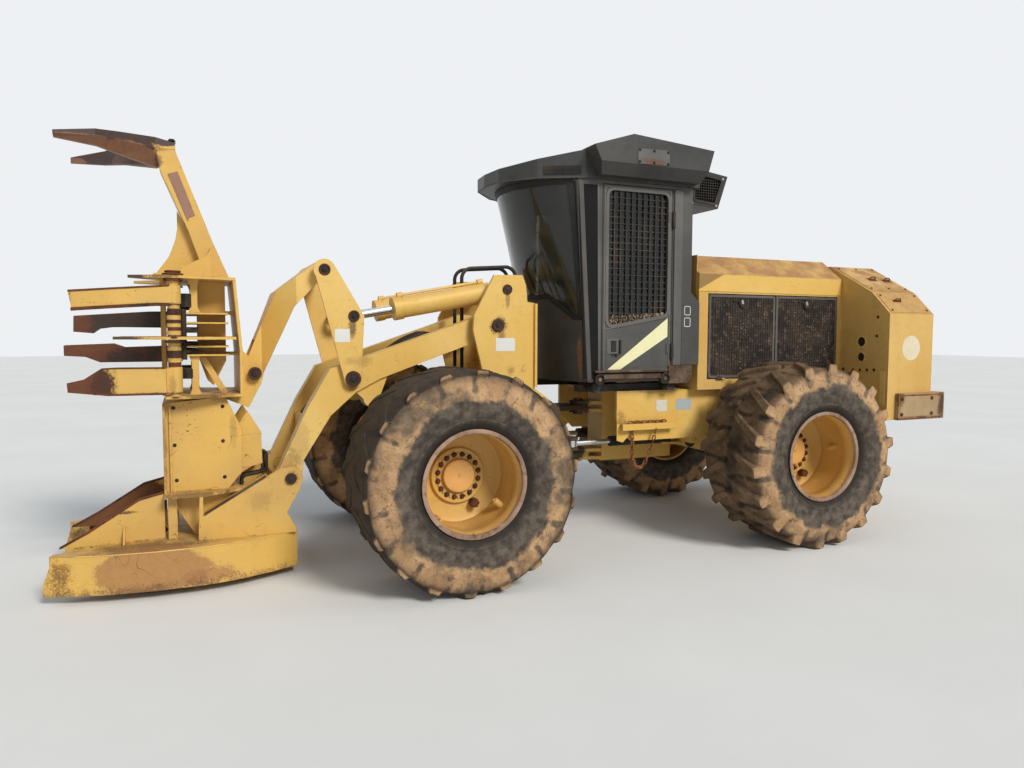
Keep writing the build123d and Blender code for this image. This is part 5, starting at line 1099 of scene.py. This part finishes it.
def make_screen(body, side, rear_x, front_x):
    """A side screen's wires, frame, latch and caught chaff."""
    def span(near, far):
        return tuple(sorted((side * near, side * far)))

    x = (rear_x + 0.024, front_x - 0.024)
    z = (1.400, 2.090)
    mid = (rear_x + front_x) / 2
    form = Form()
    grid(form, x, z, side * 0.6492, 0.027, 0.0036)
    form.done(f"{body}_wires", "mesh", "black_steel", body)
    form = Form().frame(rounded(rect(x, z), 0.008), 0.020, *span(0.650, 0.6535))
    form.done(f"{body}_frame", "grey_light", "black_steel", body, bevel=0.001)
    latch = [(0.030, 0.006), (0.046, 0.006), (0.046, 0.012), (0.030, 0.012), (0.026, 0.002), (0.0, 0.002)]
    form = Form().spin(latch, (mid, side * 0.650, 2.044), (0, side, 0), 28)
    form.box((mid + 0.045, mid + 0.11), span(0.654, 0.662), (2.052, 2.066))
    form.done(f"{body}_latch_ring", "black", "black_steel", body)
    tab = [(mid - 0.004, 2.030), (mid + 0.022, 2.036), (mid + 0.024, 2.062), (mid + 0.004, 2.070)]
    Form().slab(tab, *span(0.658, 0.664)).done(f"{body}_latch_tab", "bare", "black_steel", body, bevel=0.001)
    spots = [((rear_x + 0.05, front_x - 0.05), span(0.6455, 0.6485), (1.42, 2.07)),
             ((mid - 0.10, mid + 0.12), span(0.6455, 0.6485), (1.45, 1.95))]
    clods(f"{body}_chaff", "debris", "black_steel", body, spots, 260, 0.012)


for end, rear_x, front_x in (("front", -3.197, -2.456), ("rear", -3.944, -3.203)):
    for label, side in (("left", 1), ("right", -1)):
        make_screen(f"{label}_{end}_screen", side, rear_x, front_x)

form = Form().box((-2.352, -2.346), (-0.62, 0.62), (2.10, 2.45))
for x in (-2.9, -3.45):
    form.box((x - 0.004, x + 0.004), (-0.40, 0.40), (2.470, 2.4725))
form.done("hood_seams", "yellow_top", "yellow_paint")


# Radiator housing and bumper

UPPER = (Vector((0, 0.5, 2.42)), Vector((0, 1.0, 2.15)))
LOWER = (Vector((0, 1.0, 2.15)), Vector((0, 1.2, 1.95)))
HOUSING_FRONT_X = -4.0
HOLE_Y = 0.9
HOLES = ((1.70, 0.045), (1.56, 0.040))
DISC_CENTRE = (-4.276, 1.646)
DISC_R = 0.112
BUMPER_SIDE_Y = 1.240
BUMPER_BOLTS_Z = (1.05, 1.19)


def slope_point(edge, x, share, lift):
    """A place on one of the housing's slopes, off its surface by this much."""
    a, b = edge
    way = b - a
    p = a + way * share + Vector((0, -way.z, way.y)).normalized() * lift
    return Vector((x, p.y, p.z))


form = Form()
for edge, near, far in ((UPPER, 0.04, 0.93), (LOWER, 0.06, 0.93)):
    form.hull([[slope_point(edge, x, t, lift) for x, t in rect((-4.035, -4.520), (near, far))]
               for lift in (0.0003, 0.006)])
form.pair().done("housing_top_covers", "yellow_top", "yellow_paint", bevel=0.002)
form = Form()
for edge, xs, shares_across in (
    (UPPER, (-4.06, -4.28, -4.495), (0.10, 0.87)),
    (LOWER, (-4.06, -4.495), (0.16, 0.84)),
):
    way = slope_point(edge, 0, 0, 1) - slope_point(edge, 0, 0, 0)
    form.bolts(way, 0.009, [slope_point(edge, x, t, 0.006) for x in xs for t in shares_across])
form.pair().done("housing_cover_bolts", "rust_dark", "yellow_paint")
form = Form()
bent = ((-0.035, 0.004), (-0.034, 0.022), (-0.022, 0.034), (0.022, 0.034), (0.034, 0.022), (0.035, 0.004))
for side in (1, -1):
    for edge, x, t in ((UPPER, -4.26, 0.52), (LOWER, -4.21, 0.42), (UPPER, -4.43, 0.55)):
        ring = [slope_point(edge, x + dx, t, lift) for dx, lift in bent]
        foot = [[slope_point(edge, x + dx, t + dt, lift) for dx, dt in rect((-0.05, 0.05), (-0.05, 0.05))]
                for lift in (0.006, 0.009)]
        form.tube([(p.x, side * p.y, p.z) for p in ring], 0.0055, 8)
        form.hull([[(p.x, side * p.y, p.z) for p in row] for row in foot])
form.done("housing_ring_handles", "rust_dark", "yellow_paint")
form = Form()
for z, r in HOLES:
    ring = [(r, -0.004), (r, 0.006), (r + 0.010, 0.006), (r + 0.012, -0.001), (r, -0.004)]
    form.spin(ring, (HOUSING_FRONT_X, HOLE_Y, z), (1, 0, 0), 28)
form.pair().done("housing_hole_rims", "yellow_part", "yellow_paint")
form = Form()
for z, r in HOLES:
    form.rod((HOUSING_FRONT_X - 0.060, HOLE_Y, z), (HOUSING_FRONT_X - 0.012, HOLE_Y, z), 0.056, 24)
form.pair().done("housing_hole_cups", "black", "yellow_paint")
bolt_places = (
    (1.073, 1.924), (1.069, 1.753), (0.813, 1.434), (0.893, 1.438), (0.972, 1.441), (1.049, 1.445),
    (0.70, 1.44),
)
form = Form().bolts((1, 0, 0), 0.011, [(HOUSING_FRONT_X + 0.0005, y, z) for y, z in bolt_places])
form.pair().done("housing_front_bolts", "rust_dark", "yellow_paint")
form = Form().box((HOUSING_FRONT_X, HOUSING_FRONT_X + 0.006), (1.118, 1.172), (1.13, 1.44))
form.pair().done("housing_front_strips", "yellow_part", "yellow_paint", bevel=0.001)
form = Form().rod(*[(DISC_CENTRE[0], y, DISC_CENTRE[1]) for y in (1.2003, 1.2012)], DISC_R, 48)
form.pair().done("housing_pale_discs", "disc", "yellow_paint")
panel = rect((-4.665, -4.115), (1.012, 1.228))
form = Form().frame(panel, -0.014, BUMPER_SIDE_Y - 0.0005, BUMPER_SIDE_Y + 0.0035)
form.pair().done("bumper_edge_frames", "rust", "iron", bevel=0.001)
form = Form().bolts(OUT, 0.013, [(x, BUMPER_SIDE_Y, z) for x in (-4.14, -4.52) for z in BUMPER_BOLTS_Z])
form.bolts((-1, 0, 0), 0.016, [(-4.68, y, z) for y in (0.6, 1.1) for z in BUMPER_BOLTS_Z])
form.pair().done("bumper_bolts", "rust_dark", "iron")


# Pins, blank labels and hoses of the front frame and boom

def pin_caps(name, body, rows):
    """Steel rings round dark pin ends on both sides, from rows of (x, z, y, ring radius, pin radius)."""
    rings, pins = Form(), Form()
    for x, z, y, ring, pin in rows:
        centre = (x, y, z)
        rings.spin([(pin, -0.003), (pin, 0.007), (ring - 0.004, 0.008), (ring, 0.004), (ring, -0.003),
                    (pin, -0.003)], centre, OUT, 32)
        pins.spin([(pin + 0.001, -0.003), (pin - 0.001, 0.005), (pin * 0.55, 0.004), (pin * 0.50, 0.012),
                   (pin * 0.18, 0.013), (0.0, 0.008)], centre, OUT, 28)
    rings.pair().done(f"{name}_rings", "rust_dark", "iron", body)
    pins.pair().done(f"{name}_ends", "black", "black_steel", body)


pin_caps("tower_pins", "front_frame", [(-0.547, 1.831, 0.476, 0.052, 0.036),
                                       (-0.625, 2.115, 0.476, 0.040, 0.026)])
pin_caps("lever_pins", "levers", [(0.600, 1.425, 0.433, 0.058, 0.040), (0.590, 1.890, 0.431, 0.042, 0.029),
                                  (0.800, 2.225, 0.425, 0.043, 0.030)])
pin_caps("head_pins", "head", [(1.065, 0.715, 0.474, 0.040, 0.034), (1.280, 1.467, 0.247, 0.048, 0.036)])

# Thin blank plates on both sides, as name, body, finish, x limits, z limits and y
for name, body, finish, x, z, y in (
    ("lever_blank_labels", "levers", "label", (0.621, 0.731), (1.697, 1.794), 0.425),
    ("tower_blank_labels", "front_frame", "label", (-0.693, -0.527), (1.624, 1.728), 0.470),
    ("frame_worn_labels", "rear_frame", "label_worn", (-2.109, -1.993), (1.094, 1.194), 0.550),
    ("frame_bluish_labels", "rear_frame", "label_blue", (-2.363, -2.201), (1.100, 1.196), 0.550),
):
    form = Form().slab(rounded(rect(x, z), 0.005), y - 0.001, y + 0.0012)
    form.pair().done(name, finish, "yellow_paint", body)

form = Form()
for y in (-0.13, -0.085, 0.0, 0.085, 0.13):
    form.tube(curve([(-0.14, y, 1.722), (-0.06, y, 1.762), (0.10, y * 1.05, 1.700), (0.34, y * 0.9, 1.545),
                     (0.62, y, 1.415), (0.84, y * 1.1, 1.20), (0.90, y, 1.125)]), 0.0165, 10)
form.done("boom_hoses", "hose", "hose_rubber", "boom")
form = Form()
for x, z in ((-0.06, 1.764), (0.34, 1.545), (0.62, 1.415)):
    for low, high in ((0.012, 0.022), (-0.022, -0.014)):
        form.box((x - 0.022, x + 0.022), (-0.155, 0.155), (z + low, z + high))
form.done("boom_hose_clamps", "yellow_part", "yellow_paint", "boom", bevel=0.002)


CHAIN_LINK = 0.038
CHAIN_WIRE = 0.006


def chain(form, path):
    """Links along a path, each turned a quarter from the last."""
    path = [Vector(p) for p in path]
    for i, (a, b) in enumerate(zip(path, path[1:])):
        way = (b - a).normalized()
        side = way.orthogonal().normalized()
        across = (side if i % 2 else way.cross(side)) * CHAIN_LINK * 0.33
        ring = [(a + b) / 2 + way * CHAIN_LINK * 0.62 * p.x + across * p.y for p in circle(1, 0, 10)]
        form.tube(ring, CHAIN_WIRE, 6, loop=True)


form = Form()
lying = [(-1.70 - 0.034 * i, 0.582 + 0.006 * math.sin(i * 1.7), 1.012 + 0.002 * (i % 2)) for i in range(12)]
chain(form, lying)
hanging = [
    (-1.742, 0.590, 0.690), (-1.770, 0.592, 0.640), (-1.805, 0.592, 0.622), (-1.850, 0.592, 0.650),
    (-1.895, 0.594, 0.730), (-1.935, 0.598, 0.840), (-1.960, 0.612, 0.960),
]
chain(form, curve(hanging, 2))
form.done("ledge_chain", "rust", "iron")
form = Form().box((-2.16, -1.625), (0.598, 0.612), (0.948, 1.002))
form.slab([(-1.60, 1.00), (-1.60, 0.86), (-1.66, 0.84), (-1.78, 0.95), (-1.78, 1.00)], 0.549, 0.556)
form.pair().done("ledge_lips", "yellow_part", "yellow_paint", bevel=0.002)


# Felling head

HEAD_BOX_Y = 0.3195
ARM_SHAFT_X = 1.812
ARM_SHAFT_Y = 0.40
CAGE_LUGS = ((1.935, 2.035), (1.762, 1.802), (1.615, 1.648), (1.672, 1.698), (1.440, 1.515))

strip = [(1.830, 2.884), (1.766, 2.906), (1.658, 2.605), (1.700, 2.585), (1.706, 2.560), (1.714, 2.578)]
form = Form().slab(strip, 0.0955, 0.1005)
form.pair().done("mast_strips", "strip", "yellow_paint", "head", bevel=0.001)
bead = ((1.18, 0.495), (1.36, 0.57), (1.52, 0.617), (1.69, 0.64), (1.96, 0.64), (2.22, 0.615), (2.43, 0.565))
form = Form().tube([(x, y, 0.321) for x, y in bead], 0.0045, 8)
form.pair().done("skirt_weld_beads", "yellow_part", "yellow_paint", "head")
form = Form().hull([[(x, y, z + dz) for y, dz in rect((0.296, 0.324), (-0.008, 0.005))]
                    for x, z in ((2.545, 0.325), (2.377, 0.413), (2.060, 0.613), (1.905, 0.652))])
form.pair().done("guide_edge_wear", "rust_dark", "yellow_paint", "head", bevel=0.001)
form = Form().hull([[(x, y, z + dz) for y, dz in rect((0.405, 0.462), (-0.002, 0.006))]
                    for x, z in ((1.235, 0.735), (1.645, 0.496))])
form.pair().done("gusset_edge_dirt", "brown", "yellow_paint", "head", jitter=0.001)
form = Form()
for z, r in ((1.322, 0.062), (1.700, 0.058), (1.728, 0.062), (2.118, 0.060), (2.158, 0.066), (2.176, 0.050)):
    collar = [(0.0, -0.006), (r, -0.006), (r + 0.003, 0.0), (r, 0.006), (0.0, 0.006)]
    form.spin(collar, (ARM_SHAFT_X, ARM_SHAFT_Y, z), (0, 0, 1), 32)
for low, high in ((1.531, 1.560), (1.592, 1.638), (1.732, 1.743), (1.777, 1.798), (1.827, 1.848),
                  (1.882, 1.925)):
    form.rod((ARM_SHAFT_X, ARM_SHAFT_Y, low), (ARM_SHAFT_X, ARM_SHAFT_Y, high), 0.0415, 28)
form.pair().done("arm_shaft_rings", "rust_dark", "black_steel", "head")
form = Form().rod((1.752, 0.325, 1.575), (1.752, 0.325, 1.925), 0.020, 20)
for low, high in CAGE_LUGS:
    form.box((1.66, 1.772), (0.15, 0.30), (low, high))
    form.rod((1.730, 0.31, low + 0.004), (1.730, 0.31, high - 0.004), 0.034, 20)
form.pair().done("cage_lugs", "black", "black_steel", "head", bevel=0.003)
form = Form().bolts(OUT, 0.010, [(x, HEAD_BOX_Y, z) for x, z in (
    (1.828, 0.978), (1.512, 0.993), (1.505, 0.733), (1.820, 0.730), (1.830, 1.240), (1.510, 1.240))])
form.bolts((0, 0, 1), 0.020, [(1.80, 0.03, 3.129)])
form.pair().done("head_body_bolts", "black", "yellow_paint", "head")
spots = [((1.40, 1.66), (-0.30, 0.30), (1.312, 1.318))]
clods("head_cap_dirt", "brown", "yellow_paint", "head", spots, 260, 0.016)

# Strips along the fingers' outer faces, as arm, side, and (depth, (x, y, top) places) for each strip
for arm, side, strips in (
    ("left", 1, (
        (0.012, ((1.835, 0.448, 2.086), (1.905, 0.460, 2.079), (2.190, 0.475, 2.055), (2.432, 0.441, 2.036))),
        (0.022, ((1.835, 0.448, 1.962), (1.915, 0.460, 1.962), (2.190, 0.475, 1.941), (2.418, 0.443, 1.923))),
        (0.009, ((1.870, 0.488, 1.531), (2.155, 0.492, 1.533), (2.250, 0.476, 1.528))),
        (0.012, ((1.870, 0.488, 1.357), (2.155, 0.492, 1.358), (2.300, 0.469, 1.366))),
    )),
    ("right", -1, (
        (0.012, ((1.835, 0.444, 1.929), (1.993, 0.463, 1.926), (2.240, 0.474, 1.908), (2.498, 0.444, 1.887))),
        (0.012, ((1.835, 0.444, 1.664), (2.167, 0.471, 1.652), (2.241, 0.474, 1.680), (2.568, 0.435, 1.667))),
    )),
):
    form = Form()
    for depth, places in strips:
        form.hull([[(x, side * (y + dy), top + dz) for dy, dz in rect((-0.014, 0.005), (0, -depth))]
                   for x, y, top in places])
    form.done(f"{arm}_finger_flanges", "rust_dark", "yellow_paint", f"{arm}_arm", bevel=0.001)

# Cab windows beside and behind the seat
PANE = grown(WINDOW, 0.012)
Form().slab(PANE, 0.648, 0.652).done("door_window", "side_glass", "glass", "cab_door")
Form().slab(PANE, -0.652, -0.648).done("right_window", "side_glass", "glass")
form = Form().box((-2.2325, -2.2295), (-0.512, 0.512), (2.508, 2.912))
form.done("rear_window", "side_glass", "glass")


low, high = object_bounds()
